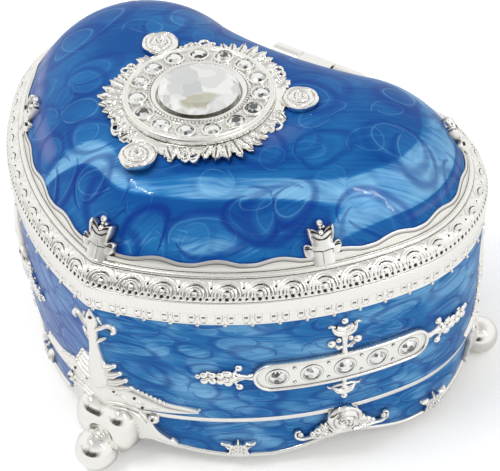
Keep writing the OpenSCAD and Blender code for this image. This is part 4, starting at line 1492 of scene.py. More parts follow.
            # The third value of each row is painted shade under the wire's edge.
            section = [(4.05, 52.05, 0), (4.02, 52.25, 0), (edge - 0.62, top - 0.62, 0),
                (edge - 0.5, top - 0.62, 0.9), (edge - 0.42, top - 0.5, 0.5),
                (edge - 0.36, top - 0.02, 0), (edge - 0.22, top + 0.13, 0),
                (edge - 0.04, top + 0.1, 0), (edge + 0.1, top - 0.5, 0), (4.6, 52.1, 0)]
            rows.append([(x, -inset, z, dark) for inset, z, dark in section])
        grid = np.array(rows)
        m, n, _ = grid.shape
        index = np.arange(m * n).reshape(m, n)
        faces = [(index[i, j], index[i + 1, j], index[i + 1, (j + 1) % n], index[i, (j + 1) % n])
            for i in range(m - 1) for j in range(n)]
        flat = grid.reshape(-1, 4)
        return MeshPart().add(flat[:, :3], faces, flat[:, 3])

    def dome(self) -> MeshPart:
        """Skins the enamelled dome, closed underneath."""
        reach = [(self.dome_inset + self.dome_reach * t ** 1.5)
            for t in np.linspace(0, 1, self.dome_steps)]
        under = [(d + 0.45, self.height(d) - 0.35) for d in reversed(reach)]
        return sweep(self.outline, [*under, (4.85, self.dome_z - 0.3),
            *[(d, self.height(d)) for d in reach]])

    def build(self, rows: TileRow) -> None:
        """Builds and dresses the lid's pieces.

        Args:
            rows: Lays cast patterns along the rim.
        """
        plate = self.finishes.plate
        self.keep(self.casting().build("lid_casting", plate), "lid", Slot.PLATE, "lid_shell")
        self.keep(rows.lay("scale_band", self.scale_tile(), self.scale_count, plate, 0.5), "lid",
            Slot.PLATE)
        self.keep(rows.lay("wavy_edge", self.wave_tile(), self.wave_count, self.finishes.tumbled,
            0.5), "lid", Slot.POLISHED)
        top = self.dome_z + self.dome_rise
        self.keep(self.dome().build("dome_enamel_coat", self.finishes.enamel,
            brushed=lambda p: self.outline.unroll_dome(p, self.dome_z, top)), "lid", Slot.ENAMEL,
            "lid_enamel")


# ---- ornaments


@dataclass(frozen=True)
class Spot:
    """A place on the rim that an ornament stands at, and how it seats there."""

    outline: HeartOutline
    turn: float = 0.0
    side: Side = Side.RIGHT
    lobe: bool = False
    tip: bool = False

    @property
    def start(self) -> float:
        """Distance of the place along the rim from the front tip."""
        return 0.0 if self.tip else self.outline.along(self.turn, self.side, self.lobe)

    def axes(self) -> tuple[np.ndarray, np.ndarray, np.ndarray]:
        """Gives the place itself, the direction along the wall and the one outwards."""
        here = self.outline.wrap(np.zeros((1, 3)), self.start)[0]
        out = self.outline.wrap(np.array([[0, 0, 1]]), self.start)[0] - here
        return here, np.array([-out[1], out[0], 0]), out

    def rigid(self, flat: np.ndarray) -> np.ndarray:
        """Places flat coordinates here without bending them."""
        here, along, out = self.axes()
        return here + np.outer(flat[:, 0], along) + np.outer(flat[:, 1], UP) + np.outer(flat[:, 2],
            out)

    def seat(self, flat: np.ndarray, inset: float = 0.0) -> np.ndarray:
        """Lays flat coordinates on the wall, seen square on from outside this place.

        Args:
            flat: Points whose X runs along, Y up and Z outwards.
            inset: Inset of the ground.

        Returns:
            Points in the part's frame.
        """
        here, along, _ = self.axes()
        run = np.linspace(-32, 32, 161)
        wall = self.outline.wrap(np.column_stack([run, run * 0, run * 0]), self.start)
        lateral = (wall - here) @ along
        keep = slice(int(np.argmin(lateral)), int(np.argmax(lateral)) + 1)
        moved = flat.copy()
        moved[:, 0] = np.interp(flat[:, 0], lateral[keep], run[keep])
        return self.outline.wrap(moved, self.start, inset)


def both_sides(draw: Callable[[Relief], None]) -> Relief:
    """Draws a relief on the right and adds its mirror image on the left."""
    half = Relief()
    draw(half)
    whole = Relief().merge(half)
    return whole.merge(half, lambda p: p * [-1, 1, 1], flip=True)


def brilliant(radius: float, height: float, table: float, sides: int = 8) -> MeshPart:
    """Cuts a round brilliant that stands on its closed back.

    Args:
        radius: Radius of the girdle.
        height: Height of the table over the back.
        table: Radius of the table.
        sides: Sides of the table.

    Returns:
        A closed stone with flat facets.
    """
    girdle = height * 0.42
    rings = ((radius * 0.55, 0, 0), (radius, girdle, 0), (radius, girdle + 0.1, 0),
        ((radius + table) / 2 * 1.04, girdle + (height - girdle) * 0.62, 0.5), (table, height, 0))
    counts = (2 * sides, 2 * sides, 2 * sides, sides, sides)
    points, rows = [], []
    for (r, z, shift), count in zip(rings, counts):
        rows.append(list(range(len(points), len(points) + count)))
        points += [(r * cos(FULL_TURN * (i + shift) / count),
            r * sin(FULL_TURN * (i + shift) / count), z) for i in range(count)]
    faces = [tuple(reversed(rows[0])), tuple(rows[4])]
    for low, high in zip(rows[:2], rows[1:3]):
        n = len(low)
        faces += [(low[i], low[(i + 1) % n], high[(i + 1) % n], high[i]) for i in range(n)]
    rim, star, top = rows[2:]
    n = sides
    for i in range(n):
        a, b, c = rim[2 * i], rim[2 * i + 1], rim[(2 * i + 2) % (2 * n)]
        s, t = star[i], star[(i - 1) % n]
        faces += [(a, b, s), (b, c, s), (a, s, top[i], t), (top[i], s, top[(i + 1) % n])]
    return MeshPart().add(np.array(points), faces)


@dataclass
class Plaques(SubAssembly):
    """The two side plaques: a bordered capsule with five stones, finials and fleurs."""

    turn: float = 39.4
    z: float = 27.9
    half: float = 17.8
    high: float = 3.7
    stone_pitch: float = 6.6
    stone_radius: float = 1.6
    wall_inset: float = 0.5

    def capsule(self) -> MeshPart:
        """Makes the capsule with its rounded border round a sunk satin field."""
        # The third value of each row is painted shade: on the sunk base and under the border's
        # inner edge.
        profile = [(0, -0.5, 1), (0, 0.75, 0), (0.08, 1.02, 0), (0.22, 1.17, 0), (0.42, 1.2, 0),
            (0.6, 1.13, 0), (0.7, 0.98, 0.2), (0.74, 0.8, 0.6), (0.9, 0.76, 0.1), (1.6, 0.8, 0),
            (2.6, 0.82, 0), (3.55, 0.82, 0)]
        straight = self.half - self.high
        points, dark = [], []
        n_end, n_side = 18, 24
        for depth, z, shade in profile:
            r = self.high - depth
            ring = []
            for side in (1.0, -1.0):
                for i in range(n_end):
                    a = radians(90 - 180 * i / (n_end - 1))
                    ring.append((side * (straight + r * cos(a)), side * r * sin(a)))
                ring += [(side * straight * (1 - 2 * i / n_side), -side * r)
                    for i in range(1, n_side)]
            points.append([(x, y, z) for x, y in reversed(ring)])
            dark.append([shade] * len(ring))
        grid = np.array(points)
        m, n, _ = grid.shape
        part = MeshPart().add(grid.reshape(-1, 3), grid_faces(m, n, True), np.ravel(dark))
        middle = np.array([[x, 0, 0.82] for x in np.linspace(straight, -straight, n_side + 1)])
        cap_at = len(grid.reshape(-1, 3))
        core = [tuple(p) for p in grid[-1]]
        near = [int(np.argmin(np.abs(middle[:, 0] - p[0]))) for p in core]
        part.points.append(middle)
        part.hollow.append(np.zeros(len(middle)))
        part.count += len(middle)
        for i in range(n):
            j = (i + 1) % n
            face = [(m - 1) * n + i, (m - 1) * n + j, cap_at + near[j], cap_at + near[i]]
            part.faces.append(tuple(dict.fromkeys(face)))
        part.faces.append(tuple(range(n - 1, -1, -1)))
        return part

    def finial(self, relief: Relief) -> None:
        """Draws the right-hand finial: neck, two curls, two berry knobs and a bead.

        Args:
            relief: Relief to draw on.
        """
        x = self.half
        relief.stroke([(x - 0.6, 0, 2.4), (x + 0.5, 0, 1.3), (x + 2, 0, 0.9), (x + 3.4, 0, 1.2)],
            0.75)
        for s in (1, -1):
            relief.draw(([(x + 1, 0.25 * s, 0.5), (x + 2.6, 0.6 * s, 0.7), (x + 3.2, 1.6 * s, 0.6),
                (x + 2.6, 2.5 * s, 0.5)], 0.95), (x + 2.5, 2.65 * s, 0.78, 0.85),
                (x + 3.5, 0.95 * s, 0.5, 0.75))
        for at, size, count in ((4.9, 2, 5), (8.1, 1.75, 4)):
            relief.boss(x + at, 0.0, size * 0.8, 0.7)
            for i in range(count):
                a = FULL_TURN * (i + 0.5) / count
                relief.boss(x + at + 0.62 * size * cos(a), 0.66 * size * sin(a), size * 0.42, 0.5,
                    0.55, sides=10)
            relief.boss(x + at, 0.0, size * 0.3, 0.5, 0.75, sides=9)
        relief.boss(x + 10.0, 0.0, 0.62, 0.65)

    def fleur(self, relief: Relief) -> None:
        """Draws the right half of the fleurs above and below the capsule.

        Args:
            relief: Relief to draw on.
        """
        y = self.high
        relief.draw(([(0, y - 0.4, 1.5), (0, y + 1.2, 1.1), (0, y + 3, 1.2), (0, y + 4.8, 1.7)],
            0.8), ([(0.1, y + 1.4, 0.7), (1.1, y + 1.5, 0.7), (2, y + 2.2, 0.8)], 0.95),
            (2.6, y + 2.75, 0.92, 0.95), (1.2, y + 3.4, 0.62, 0.8), (1.25, y + 1.3, 0.5, 0.7),
            ([(0, y + 5.2, 1.9), (1.2, y + 5.5, 1.6), (2.1, y + 6.3, 1), (2.5, y + 7.3, 0.35)],
            0.9), ([(0, y + 6.1, 1.3), (0.9, y + 6.5, 1.3), (1.7, y + 7, 0.9)], 0.85),
            ([(1.9, y + 7.1, 0.5), (2.7, y + 7.5, 0.6), (3.2, y + 7.2, 0.4)], 1),
            (0, y + 8.35, 0.76, 0.85), ([(0, -y + 0.4, 1.4), (0, -y - 1.2, 0.9),
            (0, -y - 2.4, 1.2)], 0.8), ([(0.2, -y - 1.7, 0.6), (1.7, -y - 1.8, 0.55),
            (2.9, -y - 2.3, 0.45), (3.5, -y - 1.7, 0.3)], 1.2),
            ([(0, -y - 3.7, 1.9), (1.2, -y - 3.4, 1.4), (2, -y - 2.8, 0.7), (2.5, -y - 2.7, 0.3)],
            0.9), (0, -y - 3, 0.85, 1.05), (0, -y - 5.2, 0.74, 0.85))

    def build(self) -> None:
        """Builds and dresses both plaques with their stones."""
        ornament = both_sides(self.finial).merge(both_sides(self.fleur))
        for i in range(-2, 3):
            # The collar takes painted shade at its foot and on its inner wall.
            collar = turned([(2.35, 0.5, 1), (2.3, 0.86, 0.9), (2.15, 0.95), (1.95, 1.03),
                (1.82, 1, 0.2), (1.72, 0.86, 1), (1.64, 0.4, 1)], 28)
            ornament.merge(collar, lambda p, i=i: p + [self.stone_pitch * i, 0, 0])
            if i < 2:
                for s in (1, -1):
                    # Pips between the stones take full painted shade.
                    pip = turned([(0.42, 0.6, 1), (0.4, 0.86, 1), (0.3, 1), (0, 1.05)], 10)
                    ornament.merge(pip, lambda p, i=i, s=s: p + [self.stone_pitch * (i + 0.5),
                        1.95 * s, 0])
        stone = brilliant(self.stone_radius, 1.3, 0.85)
        for side, word in ((Side.RIGHT, "right"), (Side.LEFT, "left")):
            spot = Spot(self.outline, self.turn, side)
            lay = lambda p, spot=spot: spot.seat(p + [0, self.z, 0], self.wall_inset)
            part = MeshPart().merge(self.capsule(), lay).merge(ornament, lay)
            self.keep(part.build(f"plaque_{word}_casting", self.finishes.plate, 50), "body",
                Slot.PLATE, f"plaque_{word}")
            stones = MeshPart()
            for i in range(-2, 3):
                here = lay(np.array([[self.stone_pitch * i, 0, 0.15],
                    [self.stone_pitch * i, 0, 1.15], [self.stone_pitch * i + 0.5, 0, 0.15]]))
                out, along = here[1] - here[0], here[2] - here[0]
                along -= out * np.dot(along, out)
                along /= np.linalg.norm(along)
                up = np.cross(out, along)
                spin = 0.4 * i
                c, s = cos(spin), sin(spin)
                stones.merge(stone,
                    lambda p, o=here[0], a=along * c + up * s, b=up * c - along * s, n=out: o
                    + np.outer(p[:, 0], a) + np.outer(p[:, 1], b) + np.outer(p[:, 2], n))
            self.keep(cut_facets(stones.build(f"plaque_{word}_stones", self.finishes.crystal, 2)),
                "body", Slot.CRYSTAL, f"plaque_crystals_{word}")


def cut_facets(piece: bpy.types.Object) -> bpy.types.Object:
    """Gives every facet of a stone its own flat face and its own share of the painted flashes of
    reflection.

    Args:
        piece: The stone.

    Returns:
        The same stone.
    """
    mesh = piece.data
    mesh.polygons.foreach_set("use_smooth", [False] * len(mesh.polygons))
    # Painted reflection: a random bright or dark flash for each facet.
    flash = mesh.attributes.new("flash", "FLOAT", "FACE")
    flash.data.foreach_set("value",
        [(sin(12.9898 * (i + 1)) * 43758.5453) % 1 for i in range(len(mesh.polygons))])
    return piece


@dataclass
class SkirtOrnaments(SubAssembly):
    """Rose sprays and small crowns on the scalloped skirt."""

    plaque_turn: float = 39.4
    rose_z: float = 12.3
    rose_radius: float = 3.5
    rose_relief: float = 2.4
    crown_turn: float = 16.8
    sunk: float = -0.5
    crown_z: float = 6.9

    def spray(self, relief: Relief) -> None:
        """Draws the right half of the leaves and scroll below a rose.

        Args:
            relief: Relief to draw on.
        """
        z = self.rose_z
        relief.leaf(2.6, z - 2.0, -20, 3.4, 2.4, 1.2)
        relief.leaf(3.0, z - 3.6, -4, 3.4, 2.2, 1.15)
        relief.draw((5.2, z - 2.9, 0.95, 1.1), (5.1, z - 4.7, 0.85, 1), (6.3, z - 3.6, 0.75, 0.95),
            (3.6, z - 4.9, 0.7, 0.9), ([(2, z - 4.4, 1.4), (4.4, z - 4.6, 1), (6.8, z - 4.7, 0.7),
            (8.4, z - 4.8, 0.75), (9.7, z - 4, 0.7), (9.7, z - 2.7, 0.5), (8.8, z - 2.6, 0.3)],
            0.95), (8.8, z - 3.3, 0.62, 0.85))

    def crown(self, relief: Relief) -> None:
        """Draws the right half of a small crown: a body on the rim and a long flat-topped wing.

        Args:
            relief: Relief to draw on.
        """
        rows = ((-2.9, 0, 2.5), (-2.2, 0, 2), (-1.4, 0, 1.85), (-0.8, 0, 2.3), (-0.2, 0, 3.1),
            (0.4, 0, 3.5))
        top = np.array([[(near + (far - near) * t, y, 0.95 * (1 - 0.35 * t ** 3))
            for t in np.linspace(0, 1, 7)] for y, near, far in rows])
        relief.merge(island(top, self.sunk))
        relief.draw(([(1.4, 0.2, 0.7), (2.4, 0.3, 0.9), (3.2, 0.5, 0.8), (3.6, 0.7, 0.4)], 1.3),
            ([(0, -0.4, 0.9), (0, 0.6, 0.7), (0, 1.5, 0.25)], 1.4))
        for x, y, r in ((0.55, 0.35, 0.34), (1.25, 0.4, 0.3), (0.5, -0.7, 0.36), (1.2, -1.1, 0.34),
                (0.4, -1.7, 0.34), (1.3, -2.2, 0.4), (1.95, -0.35, 0.3)):
            relief.boss(x, y, r, 0.4, 0.9, sides=8)

    def build(self) -> None:
        """Builds and dresses the sprays and crowns."""
        spray = both_sides(self.spray)
        spray.rose(0.0, self.rose_z, self.rose_radius, self.rose_relief, turn=15)
        crown = both_sides(self.crown)
        crowns = MeshPart()
        for side, word in ((Side.RIGHT, "right"), (Side.LEFT, "left")):
            spot = Spot(self.outline, self.plaque_turn, side)
            part = MeshPart().merge(spray, lambda p, s=spot: s.seat(p, 0.95))
            self.keep(part.build(f"rose_spray_{word}", self.finishes.polished, 50), "body",
                Slot.POLISHED, f"apron_rose_{word}")
            spots = [Spot(self.outline, self.plaque_turn + t, side)
                for t in (-self.crown_turn, self.crown_turn)]
            spots.append(Spot(self.outline, 90, side, lobe=True))
            for at in spots:
                crowns.merge(crown, lambda p, s=at: s.seat(p + [0, self.crown_z, 0], 1.35))
        self.keep(crowns.build("skirt_crowns", self.finishes.polished, 50), "body", Slot.POLISHED,
            "apron_crowns")


@dataclass
class Legs(SubAssembly):
    """Three legs: a leafy spine up the wall, a two-lobed knee and a ball foot."""

    ball_radius: float = 4.5
    ball_out: float = 3.3
    rear_radius: float = 4.05
    rear_out: float = 1.2
    rear_size: tuple[float, float, float] = (0.72, 1.0, 0.7)
    foot_flat: float = 1.3
    rear_turn: float = 33.5
    wall_inset: float = 0.5
    web_sink: float = -1.9

    def spine(self, relief: Relief) -> None:
        """Draws the right half of the leaves, the web that runs into the wing, and the curls.

        Args:
            relief: Relief to draw on.
        """
        relief.stroke([(1, 36.6, 0.9), (2.2, 37.4, 0.9), (3.4, 38.3, 0.85), (4.5, 38.2, 0.9),
            (4.9, 37.3, 1), (4.3, 36.6, 0.8)], 0.95)
        # A low boss with full painted shade stands in for a piercing.
        painted_hole = turned([(0.42, 0.2, 1), (0.4, 0.5, 1), (0, 0.52, 1)], 10)
        relief.merge(painted_hole, lambda p: p + [3.9, 37.5, 0])
        relief.draw(([(0.8, 33, 0.8), (1.9, 34, 0.75), (3, 34.8, 0.35)], 0.9),
            ([(1.6, 40.2, 0.6), (1.9, 39.2, 0.5), (2.3, 38.2, 0.3)], 0.8))
        for near, far in (((1.4, 26.6), (4, 27.4)), ((1.9, 24.4), (5, 25.6)),
                ((2, 22.4), (6, 23.9)), ((2.3, 20.9), (6.9, 22))):
            bend = ((near[0] + far[0]) / 2, (near[1] + far[1]) / 2 - 0.25)
            relief.draw(([(*near, 1.1), (*bend, 1.2), (*far, 0.8)], 1.05),
                (far[0] - 0.1, far[1] + 0.05, 0.56, 1, 0, 10),
                ([(near[0] + 0.2, near[1] - 1, 0.6), (bend[0], bend[1] - 1, 0.6),
                (far[0] - 0.9, far[1] - 0.9, 0.4)], 1))
        self.web(relief, ((-0.3, 14, 21.6), (3.3, 14.4, 21.9), (5, 15.1, 22), (7.2, 15.6, 21.5),
            (9.5, 15.9, 20.6), (11.2, 16, 19.9), (13, 16.2, 19.1), (15, 16.4, 18.7),
            (17.6, 16.9, 18.4), (18.8, 17.3, 18.2), (19.2, 17.6, 17.9)), 0.95, -0.5)
        relief.stroke([(17.4, 17.6, 0.5), (18.9, 17.8, 0.55), (19.5, 18.3, 0.4)], 1.0)
        for x, z in ((7.2, 21.9), (8.1, 21.6), (8.9, 21.2), (9.7, 20.9), (10.5, 20.5),
                (11.3, 20.1), (12.1, 19.8), (12.9, 19.3)):
            relief.boss(x, z, 0.34, 0.75, sides=8)
        for knots in (((3.4, 19.2, 0.5), (4.6, 19.6, 0.6), (5.6, 19, 0.4)),
                ((7.2, 17.4, 0.4), (8.2, 18.6, 0.6), (9.6, 18.4, 0.4)),
                ((10.2, 17.2, 0.3), (11.2, 18, 0.5), (12.4, 17.8, 0.3)),
                ((4.6, 17.4, 0.4), (5.8, 17.9, 0.5), (6.6, 17.2, 0.3))):
            relief.stroke(knots, 0.7, 0.75)
        # Low bosses with full painted shade stand in for piercings.
        for x, z in ((3.3, 20.3), (7.4, 19.6), (5.9, 16.6), (8.8, 17.3)):
            relief.merge(turned([(0.4, 0.3, 1), (0.3, 1.02, 1), (0, 1.03, 1)], 7),
                lambda p, x=x, z=z: p + [x, z, 0])
        relief.draw(([(1.8, 16.6, 0.7), (5.4, 17, 0.8), (8.4, 15.9, 0.6)], 0.9, 0.6),
            ([(2.6, 15.4, 0.6), (5.7, 15.7, 0.75), (8, 14.4, 0.7), (9, 12.4, 0.5)], 1.1, 0.55))
        relief.SINK = self.web_sink
        self.web(relief, ((-0.3, 5, 15.6), (5.2, 5, 15.6), (6.2, 5.7, 15.6), (7.6, 6.5, 15.2),
            (8.8, 6.8, 14.4), (9.9, 7, 12.6), (10.4, 7.1, 10.9), (11.3, 7, 9.4), (12.6, 6.7, 8.2),
            (13.8, 6.3, 7.3), (14.6, 6.2, 6.6)), 0.15, self.web_sink)
        relief.boss(10.6, 13.8, 1.15, 1.15)
        # A dot of full painted shade stands in for a piercing in the boss.
        relief.merge(turned([(0.34, 0.8, 1), (0.32, 1.17, 1), (0, 1.18, 1)], 9),
            lambda p: p + [10.5, 14.1, 0])
        relief.stroke([(7.6, 15, 0.9), (8.9, 13.6, 0.9), (10, 12.7, 0.8)], 0.8)
        relief.SINK = -0.5

    @staticmethod
    def web(relief: Relief, spans: Rows, height: float, base: float) -> None:
        """Adds a solid sheet between a lower and an upper edge.

        Args:
            relief: The spine.
            spans: Place along, lower edge and upper edge.
            height: Height in the middle.
            base: Where the sheet's back lies.
        """
        line = spline(spans, 4)
        top = np.array([[(x, low + (high - low) * t, height * sin(pi * t) ** 0.6
            if 0 < t < 1 else 0) for t in np.linspace(0, 1, 11)] for x, low, high in line])
        relief.merge(island(top, base))

    def shaft(self) -> Relief:
        """Draws the smooth shaft in the middle of the spine, with a dot of painted shade for the
        piercing under its tip.
        """
        relief = Relief()
        line = spline(((41.7, 0.06, 0.3), (41.1, 0.35, 0.5), (40.2, 0.9, 0.7), (39.2, 1.35, 0.8),
            (38, 1.45, 0.85), (36.4, 1.3, 0.9), (34, 1.15, 0.95), (31.5, 1.2, 1.1),
            (29, 1.6, 1.35), (26.5, 2.15, 1.55), (24, 2.6, 1.7), (22.6, 2.65, 1.7),
            (21.5, 2.3, 1.65), (20.8, 1.7, 1.5), (20.3, 0.9, 1.2), (20.1, 0.1, 0.9)), 4)
        top = np.array([[(half * u, z, out * (1 - u * u) ** 0.5) for u in np.linspace(-1, 1, 13)]
            for z, half, out in line])
        relief.merge(island(top, -0.5))
        # A low boss with full painted shade stands in for the piercing.
        relief.merge(turned([(0.42, 0.2, 1), (0.38, 0.8, 1), (0, 0.82, 1)], 10),
            lambda p: p + [0.35, 39.9, 0])
        return relief

    def knee(self) -> MeshPart:
        """Blends the knee's swellings into one polished form with a crease between them."""
        swells = [(s * x, z, out, r, tall) for x, z, out, r, tall in ((3.25, 8.7, -1.3, 3.95, 1.6),
            ) for s in (1, -1)] + [(0, 9.6, -2.4, 3.4, 1.4), (0, 5.4, 0.4, 3.5, 1)]
        grid = []
        for z in np.linspace(2.3, 15.2, 44):
            wide = max([abs(x) + sqrt(r * r - ((z - up) / tall) ** 2)
                for x, up, _, r, tall in swells if abs(z - up) < r * tall] + [0.6])
            row = []
            for u in np.linspace(-1, 1, 45):
                x = wide * sin(u * pi / 2)
                parts = []
                for cx, up, out, r, tall in swells:
                    left = r * r - (x - cx) ** 2 - ((z - up) / tall) ** 2
                    if left > 0:
                        parts.append(out + sqrt(left))
                sharp = 2.0
                row.append((x, z, log(sum(exp(sharp * p) for p in parts) + exp(sharp * -3))
                    / sharp))
            grid.append(row)
        top = np.array(grid)
        soft = top[:, :, 2]
        for _ in range(9):
            soft[1:-1, 1:-1] = (soft[1:-1, 1:-1] * 2 + soft[:-2, 1:-1] + soft[2:, 1:-1]
                + soft[1:-1, :-2] + soft[1:-1, 2:]) / 6
        return island(top, -4.5)

    def ball(self, radius: float) -> MeshPart:
        """Turns the ball foot with its flat underside.

        Args:
            radius: Radius of the ball.

        Returns:
            The closed ball.
        """
        r = radius
        low = acos(self.foot_flat / r)
        up = sqrt(r * r - self.foot_flat ** 2)
        return turned([(r * cos(a), up + r * sin(a)) for a in np.linspace(-low, pi / 2 - 0.02, 26)]
            + [(0, up + r)], 56)

    def build(self) -> None:
        """Builds and dresses the three legs."""
        relief = both_sides(self.spine).merge(self.shaft())
        knee = self.knee()
        tongue = box_block((-3.5, 6.3, -13.5), (3.5, 8, 0.5))
        spots = {"front": Spot(self.outline, tip=True), "right": Spot(self.outline, self.rear_turn,
            Side.RIGHT, lobe=True), "left": Spot(self.outline, self.rear_turn, Side.LEFT,
            lobe=True)}
        for word, spot in spots.items():
            front = word == "front"
            size = np.array((1.0, 1.0, 1.0) if front else self.rear_size)
            radius, out = ((self.ball_radius, self.ball_out)
                if front else (self.rear_radius, self.rear_out))
            back = out - self.ball_out
            part = MeshPart().merge(relief,
                lambda p, s=spot, k=size: s.seat(p * k, self.wall_inset))
            part.merge(tongue, spot.rigid)
            self.keep(part.build(f"leg_{word}_casting", self.finishes.tumbled, 50), "body",
                Slot.POLISHED, f"leg_{word}")
            foot = MeshPart().merge(knee, lambda p, s=spot, b=back: s.rigid(p + [0, 0, b]))
            foot.merge(self.ball(radius), lambda p, s=spot, o=out: s.rigid(np.column_stack([p[:,
                0], p[:, 2], o - p[:, 1]])))
            self.keep(foot.build(f"leg_{word}_foot", self.finishes.polished, 50), "body",
                Slot.POLISHED)


@dataclass
class LidCrowns(SubAssembly):
    """Five crowns that stand on the lid's edge, their piercings painted in as full shade."""

    plaque_turn: float = 39.4
    rear_turn: float = 46.0
    foot: float = 4.1
    lean: float = 29.0
    z: float = 52.025
    back: float = -0.9

    def block(self, relief: Relief, rows: Rows, height: float, dark: float = 0.0) -> None:
        """Adds half a plate that is fullest in the middle.

        Args:
            relief: The crown.
            rows: Height up the crown, inner and outer reach, and droop of the outer edge.
            height: Height of the plate over the ground.
            dark: Painted shade of its surface, full where it stands in for a piercing.
        """
        across = np.linspace(0, 1, 8)
        top = np.array([[(near + (far - near) * t, y - droop * (1 - t) ** 2,
            height * (1 - 0.4 * t ** 4)) for t in across] for y, near, far, droop in rows])
        relief.merge(island(top, self.back, np.full(top.shape[:2], dark)))

    def half(self, relief: Relief) -> None:
        """Draws the right half of a crown: foot, shoulder, collar, cup and horn.

        Args:
            relief: Relief to draw on.
        """
        relief.SINK = self.back
        self.block(relief, ((-0.6, 0, 2, 0), (1.2, 0, 2.1, 0), (2, 0, 2.3, 0), (2.9, 0, 2.6, 0.5)),
            0.62)
        self.block(relief, ((1.75, 2, 3, 0), (2.1, 1.9, 3.4, 0), (3.2, 1.9, 3.55, 0),
            (3.9, 2.1, 3.5, 0.2), (4.2, 2.4, 3.1, 0.2)), 0.8)
        # Plates and strokes with full painted shade, here and below, stand in for the crown's
        # piercings.
        self.block(relief, ((1.58, 2.2, 3.5, 0), (1.78, 2.2, 3.6, 0)), 0.3, 1.0)
        relief.stroke([(2.45, 3.72, 0.24), (3, 3.82, 0.3), (3.35, 3.7, 0.16)], 0.9, 0.62)
        relief.hollow[-1][:] = 1.0
        self.block(relief, ((2.62, 0, 2.5, 0.35), (3, 0, 2.9, 0.35)), 0.66, 1.0)
        self.block(relief, ((2.9, 0, 2.7, 0.3), (3.35, 0, 2.75, 0.3), (3.75, 0, 2.2, 0.1)), 1.0)
        self.block(relief, ((3.65, 0, 1.95, 0), (4.6, 0, 2.05, 0), (5.6, 0, 2.2, 0.45),
            (6.3, 0, 2.3, 0.95)), 1.12)
        for knots in (((0, 4.75, 0.34), (0.8, 4.95, 0.44), (1.7, 5.6, 0.25)),
                ((2.2, 3.3, 0.2), (2.8, 3.45, 0.32), (3.3, 3.4, 0.2))):
            relief.stroke(knots, 0.5, 1.0)
            relief.hollow[-1][:] = 1.0
        self.block(relief, ((6, 0, 1.75, 0.95), (6.85, 0, 2.05, 1.15)), 0.8, 1.0)
        self.block(relief, ((6.75, 0.3, 1.95, 0.9), (7, 0.5, 2.1, 0.9)), 0.9)
        relief.draw(([(1.9, 4.6, 0.5), (2.15, 5.8, 0.6), (2.2, 6.7, 0.6), (2.3, 7.2, 0.35)], 1.6,
            0.4), ([(0, -0.6, 0.3), (0, 1.2, 0.34), (0, 2.5, 0.26)], 1.5, 0.5))

    def build(self) -> None:
        """Builds and dresses the crowns."""
        crown = both_sides(self.half)
        crown.SINK = self.back
        crown.draw((0, 5.95, 0.66, 1.15, 0, 10), (0, 6.95, 0.36, 0.75, 0, 8),
            (0.66, 6.95, 0.34, 0.55, 0, 8))
        ball = turned([(0, -0.64), (0.36, -0.54), (0.58, -0.28), (0.64, 0), (0.58, 0.28),
            (0.36, 0.54), (0.2, 0.5), (0, 0.36)], 14)
        # Painted shade in the ball's sunk top.
        ball.hollow[0][-1:] = 1.0
        crown.merge(ball, lambda p: p + [0, 7.8, 0.35])
        spots = [Spot(self.outline, tip=True)]
        for side in Side:
            spots += [Spot(self.outline, self.plaque_turn + 2.3, side),
                Spot(self.outline, self.rear_turn, side, lobe=True)]
        lean = radians(self.lean)
        crowns = MeshPart()
        for spot in spots:
            crowns.merge(crown, lambda p, s=spot: s.rigid(np.column_stack([p[:, 0],
                self.z + p[:, 1] * cos(lean) + p[:, 2] * sin(lean),
                -self.foot - p[:, 1] * sin(lean) + p[:, 2] * cos(lean)])))
        self.keep(crowns.build("lid_crown_castings", self.finishes.tumbled, 50), "lid",
            Slot.POLISHED, "lid_crowns")


